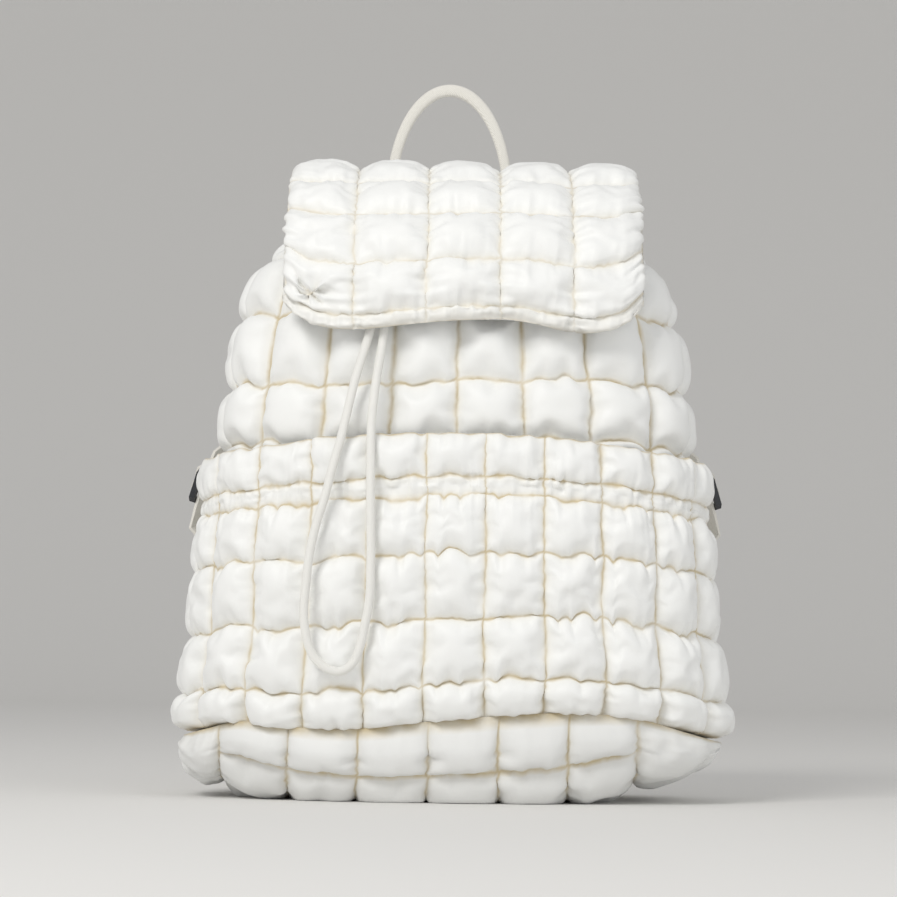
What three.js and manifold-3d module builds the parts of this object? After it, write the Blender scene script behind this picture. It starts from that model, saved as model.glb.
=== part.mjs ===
// A quilted puffer backpack, standing upright on its padded base, in millimetres.
// +X is the right side seen from the front, -Y is the front, +Z is up, and the origin is
// the middle of the flat patch that the base rests on.
// The quilted body is a hollow padded wall that is open at its gathered mouth. A wide pocket
// with an elastic top wraps the front and both sides, a quilted flap folds over the mouth, and
// the shoulder straps, their ladder buckles and their webbing stand off the back.
import * as THREE from "three";
import { mergeVertices } from "three/addons/utils/BufferGeometryUtils.js";
import Module from "manifold-3d";

const wasm = await Module();
wasm.setup();

// Clearances
const seat = 0.3; // between pieces that are sewn or threaded together
const rimSeat = 0.7; // between the base's rim and what is sewn on it, along their arched seam
const trimSeat = 0.35; // left where a piece is cut to the shape of its neighbour

// Body
const bodyWidth = 312; // across the side seams at the base
const bodyDepth = 166; // front to back at the base
const bodyHeight = 348; // from the side of the base rim up to the mouth
const bodyWall = 7; // padded wall at a quilting seam
const quiltPuff = 8; // how far a quilt cell stands out of its seams
const hiddenPuff = 0.4; // the same behind the pocket, which presses the cells flat
const mouthPuff = 4; // gathers of the mouth
const bodyColumns = 18;
const roundness = 2.6; // power of the superellipse that every level section follows
const pillowPower = 3; // how flat a quilt cell's middle is

// Base
const rimHeight = 38; // of the base seam at the sides and back
const rimArch = 14; // how much higher the base seam is at the middle of the front
const baseWall = 12;
const basePuff = 6;
const baseLedge = 17; // base beyond the body at the front and sides
const baseBackLedge = 8; // base beyond the body at the back
const baseFlatShare = 0.6; // share of the base's depth that lies flat on the ground
const baseEndFlatShare = 0.28; // the same of its width
const baseCurve = 2.4; // power of its rounded edge outside that patch
const baseSag = 24; // how far left of the middle that patch lies
const baseFade = 12; // height above the ground by which its quilting stands out in full
const baseColumnWidth = 43.3;
const baseColumnShift = -15.5; // its quilting is sewn left of the middle
const baseFullColumns = 6;
const baseEndShare = 0.985; // where the row seams run out at the two ends of the base

// Pocket
const pocketSpan = 0.31; // share of the body's girth that it covers, each way from the front
const pocketSideTop = 212; // height of its top edge at the sides
const pocketArch = 16; // how much higher the top edge is at the middle of the front
const pocketHollow = 11; // room between body and pocket
const pocketEndGap = 0.5; // the same where its two ends are sewn to the body
const pocketEndPower = 6; // how late the room closes towards those ends
const pocketColumns = 15;
const pocketPleat = 1.6; // depth of the small pleats that its elastic makes

// Flap
const flapWidth = 225;
const flapShift = 3; // it is sewn a little right of the middle
const flapColumnWidth = 45.6;
const flapRise = 17; // of its crest above the mouth
const flapDrop = 103; // from its crest down to its front edge
const flapWall = 6;
const flapPuff = 5;
const flapWrap = 14; // how far its front sides bend back round the body
const flapCorner = 0.06; // rounding of its front corners, as a share of its length
const flapCornerPower = 8; // how close to the sides that rounding stays
const flapFullColumns = 3;
const flapRows = 7;

// Handle
const handleSpan = 78; // between the middles of its two ends
const handleRise = 72.5; // of its arch above its two ends
const handleShift = -7; // it is sewn a little left of the middle
const handleWidth = 9.5; // across the webbing, seen from the front
const handleThickness = 7;
const handleSetIn = 27; // from the back of the body forward to the webbing
const handleSteps = 18;

// Shoulder straps
const padWidth = 48; // at the yoke
const padEndWidth = 34;
const padThickness = 9; // in the middle of a quilt cell
const padSeamShare = 0.62; // share of that thickness at a seam
const padCells = 6;
const webWidth = 24;
const webThickness = 1.8;
const webSlack = 21; // how far the lower webbing bows out from the body
const webAnchor = 0.36; // where it is sewn in, as a share of the girth from the front
const buckleWidth = 31;
const buckleHeight = 23;
const buckleThickness = 4;
const buckleBar = 4; // height of each of its three bars
const buckleSide = 2.8; // width of its two sides
const buckleAside = 12; // from the body's side out to the buckle's middle
const buckleSetBack = 72; // from the bag's middle back to the buckle's middle
const buckleDrop = 10; // from the pocket's side top down to the buckle's middle
const buckleLean = 18; // degrees that its foot stands out
const buckleTurn = 70; // degrees that its face turns from the back towards the side
const webLead = 4; // straight webbing above and below the buckle
const tabSteps = 8;
const webSteps = 16;

// Drawcord
const cordDiameter = 5.5;
const cordSides = 8;
const cordSteps = 50;

// Accuracy
const girthSamples = 360; // straight steps that measure half a level section's girth
const pocketSamples = 60; // the same for half the pocket's
const padSamples = 60; // frames along a pad, of which its rings are some
const levelPasses = 3; // that find the body's level at a height of the pocket
const slopeStep = 0.002; // share of a size that gives a surface's slope
const mergeTolerance = 1e-3; // within which corners count as one

// Steps across one quilt cell, and how far out the cell has come at each: from seam to seam.
const cellSteps = [0, 0.3, 0.7];
const pillow = (step) => 1 - Math.abs(2 * step - 1) ** pillowPower;

// Level sections of the body. Height is a share of the body's height, width of its width, and
// front and back of its depth. Quilt seams run round at the levels marked by seam.
const bodyLevels = [
  { height: 0.0, width: 1.0, front: 0.482, back: 0.494, seam: true },
  { height: 0.129, width: 0.987, front: 0.518, back: 0.506, seam: true },
  { height: 0.259, width: 0.968, front: 0.53, back: 0.506, seam: true },
  { height: 0.388, width: 0.949, front: 0.524, back: 0.5, seam: true },
  { height: 0.52, width: 0.933, front: 0.506, back: 0.488, seam: true },
  { height: 0.632, width: 0.915, front: 0.485, back: 0.472, seam: true },
  { height: 0.766, width: 0.869, front: 0.438, back: 0.449, seam: true },
  { height: 0.87, width: 0.766, front: 0.357, back: 0.408, seam: true },
  { height: 0.947, width: 0.564, front: 0.253, back: 0.349, seam: true },
  { height: 0.971, width: 0.46, front: 0.205, back: 0.277, seam: false },
  { height: 1.0, width: 0.487, front: 0.217, back: 0.289, seam: false },
];

// Levels of the pocket, as shares of its height. Gap is a share of pocketHollow, wall a share
// of bodyWall, and puff and pleat, of the row above the level, shares of quiltPuff and of
// pocketPleat. Steps are the rows of facets up to the next level.
const pocketLevels = [
  { height: 0.0, gap: 0.15, wall: 1.8, puff: 1.2, pleat: 0, steps: 3 },
  { height: 0.13, gap: 0.95, wall: 1.05, puff: 0.8, pleat: 0, steps: 3 },
  { height: 0.355, gap: 0.82, wall: 0.75, puff: 0.75, pleat: 0, steps: 3 },
  { height: 0.585, gap: 0.95, wall: 0.75, puff: 0.65, pleat: 0, steps: 3 },
  { height: 0.785, gap: 0.9, wall: 0.75, puff: 0.0, pleat: 0.4, steps: 1 },
  { height: 0.85, gap: 0.95, wall: 0.75, puff: 0.55, pleat: 1, steps: 3 },
  { height: 1.0, gap: 1.15, wall: 0.6, puff: 0.0, pleat: 0.8, steps: 0 },
];

// The flap's middle line from its front edge to its root on the back. Depth is a share of the
// body's depth, and drop a share of flapDrop below the crest.
const flapLine = [
  { depth: -0.585, drop: 1.0 },
  { depth: -0.54, drop: 0.63 },
  { depth: -0.398, drop: 0.35 },
  { depth: -0.205, drop: 0.13 },
  { depth: 0.012, drop: 0.005 },
  { depth: 0.229, drop: 0.0 },
  { depth: 0.392, drop: 0.065 },
  { depth: 0.464, drop: 0.27 },
  { depth: 0.44, drop: 0.5 },
];

// Row seams of the base from its back rim to its front rim, as shares of its half depth.
const baseRowSeams = [1, 0.92, 0.5, 0, -0.5, -0.92, -1];

// Smooth arithmetic on tables
function cubicThrough(table, key, value, at) {
  const last = table.length - 1;
  let i = 0;
  while (i < last - 1 && at > table[i + 1][key]) i += 1;
  const slopeAt = (k) => {
    const a = table[Math.max(k - 1, 0)];
    const b = table[Math.min(k + 1, last)];
    return (b[value] - a[value]) / (b[key] - a[key]);
  };
  const span = table[i + 1][key] - table[i][key];
  const t = Math.min(Math.max((at - table[i][key]) / span, 0), 1);
  const rise = table[i + 1][value] - table[i][value];
  const startSlope = slopeAt(i) * span;
  const endSlope = slopeAt(i + 1) * span;
  const bend = startSlope + endSlope - 2 * rise;
  return table[i][value] + t * (startSlope + t * (rise - startSlope - bend + t * bend));
}

// The lines of facets between a list of seams, each with its share of a full puff.
function cellLines(seams) {
  const lines = [];
  for (let i = 0; i < seams.length - 1; i += 1)
    for (const step of cellSteps)
      lines.push({ at: THREE.MathUtils.lerp(seams[i], seams[i + 1], step), puff: pillow(step) });
  lines.push({ at: seams[seams.length - 1], puff: 0 });
  return lines;
}

const evenSeams = (from, to, cells) =>
  Array.from({ length: cells + 1 }, (_, i) => from + ((to - from) * i) / cells);

// Superellipse sections: half width, and the distances from the origin to front and back.
function sectionSampler(section) {
  const centre = (section.back - section.front) / 2;
  const halfDepth = (section.back + section.front) / 2;
  const power = 2 / roundness;
  const place = (angle) => {
    const s = Math.sin(angle);
    const c = Math.cos(angle);
    return {
      x: section.halfWidth * Math.sign(s) * Math.abs(s) ** power,
      y: centre - halfDepth * Math.sign(c) * Math.abs(c) ** power,
    };
  };
  const lengths = [0];
  for (let i = 1; i <= girthSamples; i += 1) {
    const a = place((Math.PI * (i - 1)) / girthSamples);
    const b = place((Math.PI * i) / girthSamples);
    lengths.push(lengths[i - 1] + Math.hypot(b.x - a.x, b.y - a.y));
  }
  // The point at a share of the girth from the middle of the front, positive to the right.
  return (share) => {
    const wanted = Math.min(Math.abs(share) * 2, 1) * lengths[girthSamples];
    let i = 1;
    while (i < girthSamples && lengths[i] < wanted) i += 1;
    const part = (wanted - lengths[i - 1]) / (lengths[i] - lengths[i - 1]);
    const p = place((Math.PI * (i - 1 + part)) / girthSamples);
    const acrossShare = Math.abs(p.x / section.halfWidth) ** (roundness - 1);
    const depthShare = (p.y - centre) / halfDepth;
    const nx = acrossShare / section.halfWidth;
    const ny = (Math.sign(depthShare) * Math.abs(depthShare) ** (roundness - 1)) / halfDepth;
    const length = Math.hypot(nx, ny);
    const side = share < 0 ? -1 : 1;
    return { x: side * p.x, y: p.y, nx: (side * nx) / length, ny: ny / length };
  };
}

// Height of the seam between body and base: it arches up at the middle of the front.
function rimAt(x, y) {
  const across = Math.min(Math.abs(x) / (bodyWidth / 2 + baseLedge), 1);
  const frontness = THREE.MathUtils.clamp(0.5 - y / bodyDepth, 0, 1);
  return rimHeight + rimArch * (1 - across ** 2) * frontness;
}

const mouthHeight = rimHeight + bodyHeight;

function bodySection(height) {
  const value = (name) => cubicThrough(bodyLevels, "height", name, height);
  return {
    halfWidth: (bodyWidth / 2) * value("width"),
    front: bodyDepth * value("front"),
    back: bodyDepth * value("back"),
  };
}

const samplers = new Map();
function bodySampler(height) {
  const key = height.toFixed(4);
  if (!samplers.has(key)) samplers.set(key, sectionSampler(bodySection(height)));
  return samplers.get(key);
}

// A point on the body's seams, moved out level by the given distance.
function bodyPoint(share, height, out) {
  const p = bodySampler(height)(share);
  const foot = rimAt(p.x, p.y) + rimSeat;
  const z = foot + height * (mouthHeight - foot);
  return new THREE.Vector3(p.x + p.nx * out, p.y + p.ny * out, z);
}

// Faces between rows of points. Rows may hold different numbers of points.
class Facets {
  constructor() {
    this.points = [];
    this.triangles = [];
  }

  row(points) {
    return points.map((p) => this.points.push(p) - 1);
  }

  strip(a, b) {
    let i = 0;
    let j = 0;
    while (i < a.length - 1 || j < b.length - 1) {
      const left = (i + 1) * (b.length - 1) - (j + 1) * (a.length - 1);
      const isSquare = left === 0 && i < a.length - 1 && j < b.length - 1;
      const aIsNext = isSquare ? !this.standsOut(a, b, i, j) : left <= 0;
      if ((aIsNext && i < a.length - 1) || j === b.length - 1) {
        this.triangles.push(a[i], a[i + 1], b[j]);
        i += 1;
      } else {
        this.triangles.push(a[i], b[j + 1], b[j]);
        j += 1;
      }
    }
  }

  // Whether the square's diagonal from the start of a to the end of b is the outer one.
  standsOut(a, b, i, j) {
    const [start, side, end, far] = [a[i], a[i + 1], b[j + 1], b[j]].map((k) => this.points[k]);
    const toSide = side.clone().sub(start);
    const toFar = far.clone().sub(start);
    return end.clone().sub(start).dot(toSide.cross(toFar)) > 0;
  }

  fan(ring) {
    for (let i = 1; i < ring.length - 1; i += 1)
      this.triangles.push(ring[0], ring[i], ring[i + 1]);
  }

  geometry() {
    const made = new THREE.BufferGeometry().setFromPoints(this.points);
    let sixVolumes = 0;
    for (let i = 0; i < this.triangles.length; i += 3) {
      const [a, b, c] = this.triangles.slice(i, i + 3).map((k) => this.points[k]);
      sixVolumes += a.dot(b.clone().cross(c));
    }
    const inward = sixVolumes < 0;
    made.setIndex(inward ? this.triangles.slice().reverse() : this.triangles);
    return made;
  }
}

// A wall between an outer and an inner grid of points, whose rows have as many points. A ring
// wall closes on itself sideways, and an open one gets two ends.
function wallGeometry(outer, inner, isRing) {
  const facets = new Facets();
  const rowsOf = (grid) =>
    grid.map((points) => {
      const row = facets.row(points);
      return isRing ? [...row, row[0]] : row;
    });
  const out = rowsOf(outer);
  const into = rowsOf(inner);
  const topOut = out[out.length - 1];
  const topInto = into[into.length - 1];
  for (let j = 0; j < out.length - 1; j += 1) facets.strip(out[j], out[j + 1]);
  for (let j = 0; j < into.length - 1; j += 1) facets.strip(into[j + 1], into[j]);
  facets.strip(into[0], out[0]);
  facets.strip(topOut, topInto);
  if (!isRing) {
    const column = (rows, i) => rows.map((row) => row[i]);
    const last = topOut.length - 1;
    facets.strip(column(out, 0), column(into, 0));
    facets.strip(column(into, last), column(out, last));
  }
  return facets.geometry();
}

// A solid through a row of closed rings with as many points.
function loftGeometry(rings) {
  const facets = new Facets();
  const rows = rings.map((points) => facets.row(points));
  for (let j = 0; j < rows.length - 1; j += 1)
    facets.strip([...rows[j], rows[j][0]], [...rows[j + 1], rows[j + 1][0]]);
  facets.fan(rows[0].slice().reverse());
  facets.fan(rows[rows.length - 1]);
  return facets.geometry();
}

// Cutting and joining
function toSolid(geometry) {
  const bare = geometry.clone();
  bare.deleteAttribute("normal");
  bare.deleteAttribute("uv");
  const merged = mergeVertices(bare, mergeTolerance);
  return new wasm.Manifold(
    new wasm.Mesh({
      numProp: 3,
      vertProperties: new Float32Array(merged.attributes.position.array),
      triVerts: new Uint32Array(merged.index.array),
    }),
  );
}

function toGeometry(solid) {
  const mesh = solid.getMesh();
  return new THREE.BufferGeometry()
    .setAttribute("position", new THREE.BufferAttribute(mesh.vertProperties, mesh.numProp))
    .setIndex(new THREE.BufferAttribute(mesh.triVerts, 1));
}

// What is left of a solid outside its neighbours: its largest body.
function trimmed(solid, neighbours) {
  const left = neighbours.reduce((rest, neighbour) => rest.subtract(neighbour), solid);
  const bodies = left.decompose();
  return bodies.reduce((a, b) => (a.volume() > b.volume() ? a : b));
}

// Body shell
const bodySeams = bodyLevels.filter((level) => level.seam).map((level) => level.height);
const neckLevels = bodyLevels.filter((level) => !level.seam).map((level) => level.height);
const pocketTopShare = (pocketSideTop - rimHeight) / bodyHeight;

function bodyPuff(share, height) {
  const isHidden = Math.abs(share) < pocketSpan + 1 / bodyColumns / 2 && height < pocketTopShare;
  return isHidden ? hiddenPuff : quiltPuff;
}

function bodyRows(extra) {
  const columns = cellLines(evenSeams(-0.5, 0.5, bodyColumns)).slice(0, -1);
  const rows = cellLines(bodySeams).map((row) =>
    columns.map((column) => {
      const out = bodyPuff(column.at, row.at) * row.puff * column.puff;
      return bodyPoint(column.at, row.at, out + extra);
    }),
  );
  for (const height of neckLevels)
    rows.push(
      columns.map((column) => bodyPoint(column.at, height, mouthPuff * column.puff + extra)),
    );
  return rows;
}

function bodyShell() {
  const columns = cellLines(evenSeams(-0.5, 0.5, bodyColumns)).slice(0, -1);
  const inner = [...bodySeams, ...neckLevels].map((height) =>
    columns.map((column) => {
      const gather = height > bodySeams[bodySeams.length - 1] ? mouthPuff * column.puff : 0;
      return bodyPoint(column.at, height, gather - bodyWall);
    }),
  );
  return wallGeometry(bodyRows(0), inner, true);
}

// The body without its hollow, grown by a clearance, for cutting what is sewn to it.
function filledBody() {
  return loftGeometry(bodyRows(trimSeat));
}

// Base
const baseHalfWidth = bodyWidth / 2 + baseLedge;
const baseFront = bodyLevels[0].front * bodyDepth + baseLedge;
const baseBack = bodyLevels[0].back * bodyDepth + baseBackLedge;
const baseCentre = (baseBack - baseFront) / 2;
const baseHalfDepth = (baseBack + baseFront) / 2;

// How far up the base's rounded edge has come: 0 over the flat patch, 1 at the rim. The edge
// is full at the front, the back and the left end, and rises early towards the right end.
function edgeRise(x, y, inset) {
  const half = baseHalfWidth - inset;
  const across = Math.min(Math.abs(x) / half, 1) ** roundness;
  const along = (Math.abs(y - baseCentre) / (baseHalfDepth - inset)) ** roundness;
  const frontness = along / Math.max(across + along, Number.EPSILON);
  const endFlat = baseEndFlatShare - (Math.sign(x) * baseSag) / half;
  const flat = THREE.MathUtils.lerp(endFlat, baseFlatShare, frontness);
  const steepness = x < 0 ? 1 : frontness; // its left end is as steep as its front
  const radius = (across + along) ** (1 / roundness);
  const q = THREE.MathUtils.clamp((radius - flat) / (1 - flat), 0, 1);
  return 1 - (1 - q ** baseCurve) ** (1 / (1 + steepness));
}

// A point of the base. The row is a share of the half depth that the base has at this x.
function basePoint(x, row, inset, thickness) {
  const half = baseHalfWidth - inset;
  const across = Math.min(Math.abs(x) / half, 1);
  const halfHere = (baseHalfDepth - inset) * (1 - across ** roundness) ** (1 / roundness);
  const y = baseCentre + row * halfHere;
  const z = thickness + (rimAt(x, y) - thickness) * edgeRise(x, y, inset);
  return new THREE.Vector3(x, y, z);
}

function basePanel(grow) {
  const half = (baseFullColumns / 2) * baseColumnWidth;
  const end = baseHalfWidth * baseEndShare;
  const seams = evenSeams(baseColumnShift - half, baseColumnShift + half, baseFullColumns);
  const columns = cellLines([-end, ...seams, end]);
  const rows = cellLines(baseRowSeams);
  const outer = rows.map((row) =>
    columns.map((column) => {
      const p = basePoint(column.at, row.at, 0, 0);
      const aside = basePoint(column.at + slopeStep * half, row.at, 0, 0).sub(p);
      const along = basePoint(column.at, row.at + slopeStep, 0, 0).sub(p);
      const down = along.cross(aside).normalize();
      const atRim = Math.abs(row.at) === 1;
      const rounded = Math.min(p.z / baseFade, 1); // no puff where it lies on the ground
      const puff = basePuff * row.puff * column.puff * rounded;
      if (atRim || p.z < mergeTolerance) return p;
      return p.addScaledVector(down, puff).setZ(Math.max(p.z, 0));
    }),
  );
  const share = (baseHalfWidth - baseWall) / baseHalfWidth;
  const inner = baseRowSeams.map((row) =>
    columns.map((column) => basePoint(column.at * share, row, baseWall, baseWall)),
  );
  if (grow) for (const p of [...outer.flat(), ...inner.flat()]) p.z += trimSeat;
  return wallGeometry(outer, inner, false);
}

// Pocket
const pocketRows = pocketLevels.flatMap((level, i) => {
  const next = pocketLevels[Math.min(i + 1, pocketLevels.length - 1)];
  return cellSteps.slice(0, Math.max(level.steps, 1)).map((step) => ({
    at: THREE.MathUtils.lerp(level.height, next.height, step),
    puff: level.puff * pillow(step),
    pleat: level.pleat * pocketPleat,
  }));
});

// The body's level at a height of the pocket, which follows the arch of its top edge.
function pocketLevelOnBody(share, at) {
  let level = at * pocketTopShare;
  for (let i = 0; i < levelPasses; i += 1) {
    const p = bodySampler(level)(share);
    const foot = rimAt(p.x, p.y) + rimSeat;
    const arch = 1 - Math.min(Math.abs(p.x) / (bodyWidth / 2), 1) ** 2;
    const z = foot + at * (pocketSideTop + pocketArch * arch * (p.y < 0 ? 1 : 0) - foot);
    level = (z - foot) / (mouthHeight - foot);
  }
  return level;
}

function pocketOut(q, at) {
  const value = (name) => cubicThrough(pocketLevels, "height", name, at);
  const middle = 1 - Math.abs(q) ** pocketEndPower;
  const gap = pocketEndGap + (pocketHollow * value("gap") - pocketEndGap) * middle;
  return { gap: Math.max(gap, pocketEndGap), wall: bodyWall * value("wall") };
}

// Shares of the girth for evenly wide columns on the outside of the pocket, at one height.
function pocketShares(at, columns) {
  const place = (i) => {
    const q = i / pocketSamples;
    const out = pocketOut(q, at);
    const share = q * pocketSpan;
    return bodyPoint(share, pocketLevelOnBody(share, at), out.gap + out.wall);
  };
  const lengths = [0];
  let before = place(0);
  for (let i = 1; i <= pocketSamples; i += 1) {
    const here = place(i);
    lengths.push(lengths[i - 1] + here.distanceTo(before));
    before = here;
  }
  return columns.map((column) => {
    const wanted = Math.abs(column.at) * lengths[pocketSamples];
    let i = 1;
    while (i < pocketSamples && lengths[i] < wanted) i += 1;
    const part = (wanted - lengths[i - 1]) / (lengths[i] - lengths[i - 1]);
    return (Math.sign(column.at) * (i - 1 + part)) / pocketSamples;
  });
}

function frontPocket() {
  const columns = cellLines(evenSeams(-1, 1, pocketColumns));
  const gridOf = (rows, isOuter) =>
    rows.map((row) => {
      const places = pocketShares(row.at, columns);
      return columns.map((column, i) => {
        const q = places[i];
        const out = pocketOut(q, row.at);
        const share = q * pocketSpan;
        const pleat = i % 2 === 0 ? -row.pleat / 2 : row.pleat / 2;
        const cell = quiltPuff * row.puff * column.puff + pleat;
        const distance = out.gap + (isOuter ? out.wall + cell : 0);
        return bodyPoint(share, pocketLevelOnBody(share, row.at), distance);
      });
    });
  const innerRows = pocketLevels.map((level) => ({ at: level.height }));
  return wallGeometry(gridOf(pocketRows, true), gridOf(innerRows, false), false);
}

// Flap
const flapCurve = new THREE.CatmullRomCurve3(
  flapLine.map(
    ({ depth, drop }) =>
      new THREE.Vector3(0, depth * bodyDepth, mouthHeight + flapRise - drop * flapDrop),
  ),
);

// A point of the flap: u runs across from -1 to 1, v from the front edge back to the root,
// which may be lengthened.
function flapPoint(u, v, out, longer) {
  const along = v + (1 - v) * flapCorner * Math.abs(u) ** flapCornerPower;
  const middle = flapCurve.getPointAt(along);
  const tangent = flapCurve.getTangentAt(along);
  const normal = new THREE.Vector3(0, -tangent.z, tangent.y);
  const frontness = THREE.MathUtils.clamp(-middle.y / (bodyDepth / 2), 0, 1);
  middle.x = flapShift + (u * flapWidth) / 2;
  middle.y += flapWrap * u * u * frontness;
  if (v === 1) middle.addScaledVector(tangent, longer);
  return middle.addScaledVector(normal, out);
}

function topFlap(extra) {
  const side = (flapFullColumns * flapColumnWidth) / flapWidth;
  const columns = cellLines([-1, ...evenSeams(-side, side, flapFullColumns), 1]);
  const rows = cellLines(evenSeams(0, 1, flapRows));
  const half = flapWall / 2;
  const outer = rows.map((row) =>
    columns.map((column) =>
      flapPoint(column.at, row.at, half + flapPuff * row.puff * column.puff + extra, extra),
    ),
  );
  const inner = evenSeams(0, 1, flapRows).map((at) =>
    columns.map((column) => flapPoint(column.at, at, -half - extra, extra)),
  );
  return wallGeometry(outer, inner, false);
}

// Webbing, pads and other long pieces: rings along a path, each with its own frame.
function ringAt(frame, width, thickness, corners) {
  return corners.map(([across, out]) =>
    frame.place
      .clone()
      .addScaledVector(frame.across, (across * width) / 2)
      .addScaledVector(frame.out, (out * thickness) / 2),
  );
}

const flatCorners = [[-1, -1], [1, -1], [1, 1], [-1, 1]];
const roundCorners = Array.from({ length: 8 }, (_, i) => {
  const angle = (Math.PI / 4) * (i + 0.5);
  return [Math.cos(angle) / Math.cos(Math.PI / 8), Math.sin(angle) / Math.cos(Math.PI / 8)];
});
const padCorners = [
  [-1, 0], [-0.86, -0.75], [-0.3, -1], [0.3, -1], [0.86, -0.75],
  [1, 0], [0.86, 0.75], [0.3, 1], [-0.3, 1], [-0.86, 0.75],
];

// Frames along a curve whose width stays as near as it can to a wanted direction.
function framesAlong(points, acrossAt, count) {
  const curve = new THREE.CatmullRomCurve3(points, false, "centripetal");
  return Array.from({ length: count + 1 }, (_, i) => {
    const at = i / count;
    const along = curve.getTangentAt(at);
    const across = acrossAt(at);
    across.addScaledVector(along, -across.dot(along)).normalize();
    return { at, place: curve.getPointAt(at), along, across, out: along.clone().cross(across) };
  });
}

// Handle: half an ellipse of soft webbing, whose ends go down into the flap's seam.
function carryHandle() {
  const foot = mouthHeight + flapRise - flapWall;
  const y = bodyDepth / 2 - handleSetIn;
  const points = Array.from({ length: handleSteps + 1 }, (_, i) => {
    const angle = Math.PI * (1 - i / handleSteps);
    const x = handleShift + (handleSpan / 2) * Math.cos(angle);
    return new THREE.Vector3(x, y, foot + handleRise * Math.sin(angle));
  });
  const across = () => new THREE.Vector3(0, 1, 0);
  const rings = framesAlong(points, across, handleSteps).map((frame) =>
    ringAt(frame, handleThickness, handleWidth, roundCorners),
  );
  return loftGeometry(rings);
}

// Buckle and straps, on the right. The left ones are their mirror images.
const buckleFrame = (() => {
  const turn = THREE.MathUtils.degToRad(buckleTurn);
  const lean = THREE.MathUtils.degToRad(buckleLean);
  const across = new THREE.Vector3(Math.cos(turn), -Math.sin(turn), 0);
  const level = new THREE.Vector3(Math.sin(turn), Math.cos(turn), 0);
  const down = new THREE.Vector3(0, 0, -Math.cos(lean)).addScaledVector(level, Math.sin(lean));
  const out = across.clone().cross(down);
  const place = new THREE.Vector3(
    bodyWidth / 2 + buckleAside,
    buckleSetBack,
    pocketSideTop - buckleDrop,
  );
  return new THREE.Matrix4().makeBasis(across, down, out).setPosition(place);
})();

// A point of the buckle's own frame: along is down the strap, and out is away from the body.
const onBuckle = (along, out) => new THREE.Vector3(0, along, out).applyMatrix4(buckleFrame);
const buckleAxis = (k) => new THREE.Vector3().setFromMatrixColumn(buckleFrame, k);

const barSpacing = (buckleHeight - buckleBar) / 2;

function ladderBuckle() {
  const shape = new THREE.Shape();
  const halfWidth = buckleWidth / 2;
  const halfHeight = buckleHeight / 2;
  const corner = buckleSide;
  shape.moveTo(-halfWidth + corner, -halfHeight);
  shape.lineTo(halfWidth - corner, -halfHeight);
  shape.lineTo(halfWidth, -halfHeight + corner);
  shape.lineTo(halfWidth, halfHeight - corner);
  shape.lineTo(halfWidth - corner, halfHeight);
  shape.lineTo(-halfWidth + corner, halfHeight);
  shape.lineTo(-halfWidth, halfHeight - corner);
  shape.lineTo(-halfWidth, -halfHeight + corner);
  shape.closePath();
  for (const centre of [-barSpacing / 2, barSpacing / 2]) {
    const slot = new THREE.Path();
    const slotHalfWidth = halfWidth - buckleSide;
    const slotHalfHeight = (barSpacing - buckleBar) / 2;
    slot.moveTo(-slotHalfWidth, centre - slotHalfHeight);
    slot.lineTo(-slotHalfWidth, centre + slotHalfHeight);
    slot.lineTo(slotHalfWidth, centre + slotHalfHeight);
    slot.lineTo(slotHalfWidth, centre - slotHalfHeight);
    slot.closePath();
    shape.holes.push(slot);
  }
  const depth = buckleThickness;
  return new THREE.ExtrudeGeometry(shape, { depth, bevelEnabled: false }).translate(
    0,
    0,
    -depth / 2,
  );
}

// The webbing's loop round one bar of the buckle, with a tail to the given place along.
function barLoop(bar, tail) {
  const holeHalf = { along: buckleBar / 2 + seat, out: buckleThickness / 2 + seat };
  const away = Math.sign(tail - bar);
  const along = holeHalf.along + webThickness;
  const out = holeHalf.out + webThickness;
  const outline = new THREE.Shape([
    new THREE.Vector2(bar - away * along, -holeHalf.out),
    new THREE.Vector2(bar - away * along, holeHalf.out),
    new THREE.Vector2(bar - away * holeHalf.along, out),
    new THREE.Vector2(bar + away * holeHalf.along, out),
    new THREE.Vector2(bar + away * along, holeHalf.out),
    new THREE.Vector2(bar + away * along, -holeHalf.out),
    new THREE.Vector2(tail, -holeHalf.out),
    new THREE.Vector2(tail, -out),
    new THREE.Vector2(bar - away * holeHalf.along, -out),
  ]);
  const loop = new THREE.ExtrudeGeometry(outline, { depth: webWidth, bevelEnabled: false });
  const hole = new THREE.BoxGeometry(2 * holeHalf.along, 2 * holeHalf.out, 2 * webWidth);
  loop.translate(0, 0, -webWidth / 2);
  hole.translate(bar, 0, 0);
  // The outline's x is along the strap, its y is outwards, and it is extruded across.
  const turn = new THREE.Matrix4().makeBasis(
    new THREE.Vector3(0, 1, 0),
    new THREE.Vector3(0, 0, 1),
    new THREE.Vector3(1, 0, 0),
  );
  const placed = (geometry) => toSolid(geometry.applyMatrix4(turn).applyMatrix4(buckleFrame));
  return placed(loop).subtract(placed(hole));
}

// Where the straight webbing ends above and below the buckle, in the buckle's own frame.
const webOut = -(buckleThickness / 2 + seat + webThickness / 2);
const tabEnd = -buckleHeight / 2 - webLead;
const webStart = buckleHeight / 2 + webLead;

// The pad's middle line from the yoke to its foot, as shares of the body's width, depth and
// height, the last counted from the side of the base rim.
const padLine = [
  { across: 0.118, behind: 0.385, up: 0.9 },
  { across: 0.125, behind: 0.51, up: 0.877 },
  { across: 0.16, behind: 0.62, up: 0.81 },
  { across: 0.215, behind: 0.685, up: 0.72 },
  { across: 0.295, behind: 0.685, up: 0.645 },
  { across: 0.436, behind: 0.585, up: 0.568 },
].map(
  ({ across, behind, up }) =>
    new THREE.Vector3(across * bodyWidth, behind * bodyDepth, rimHeight + up * bodyHeight),
);

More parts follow.
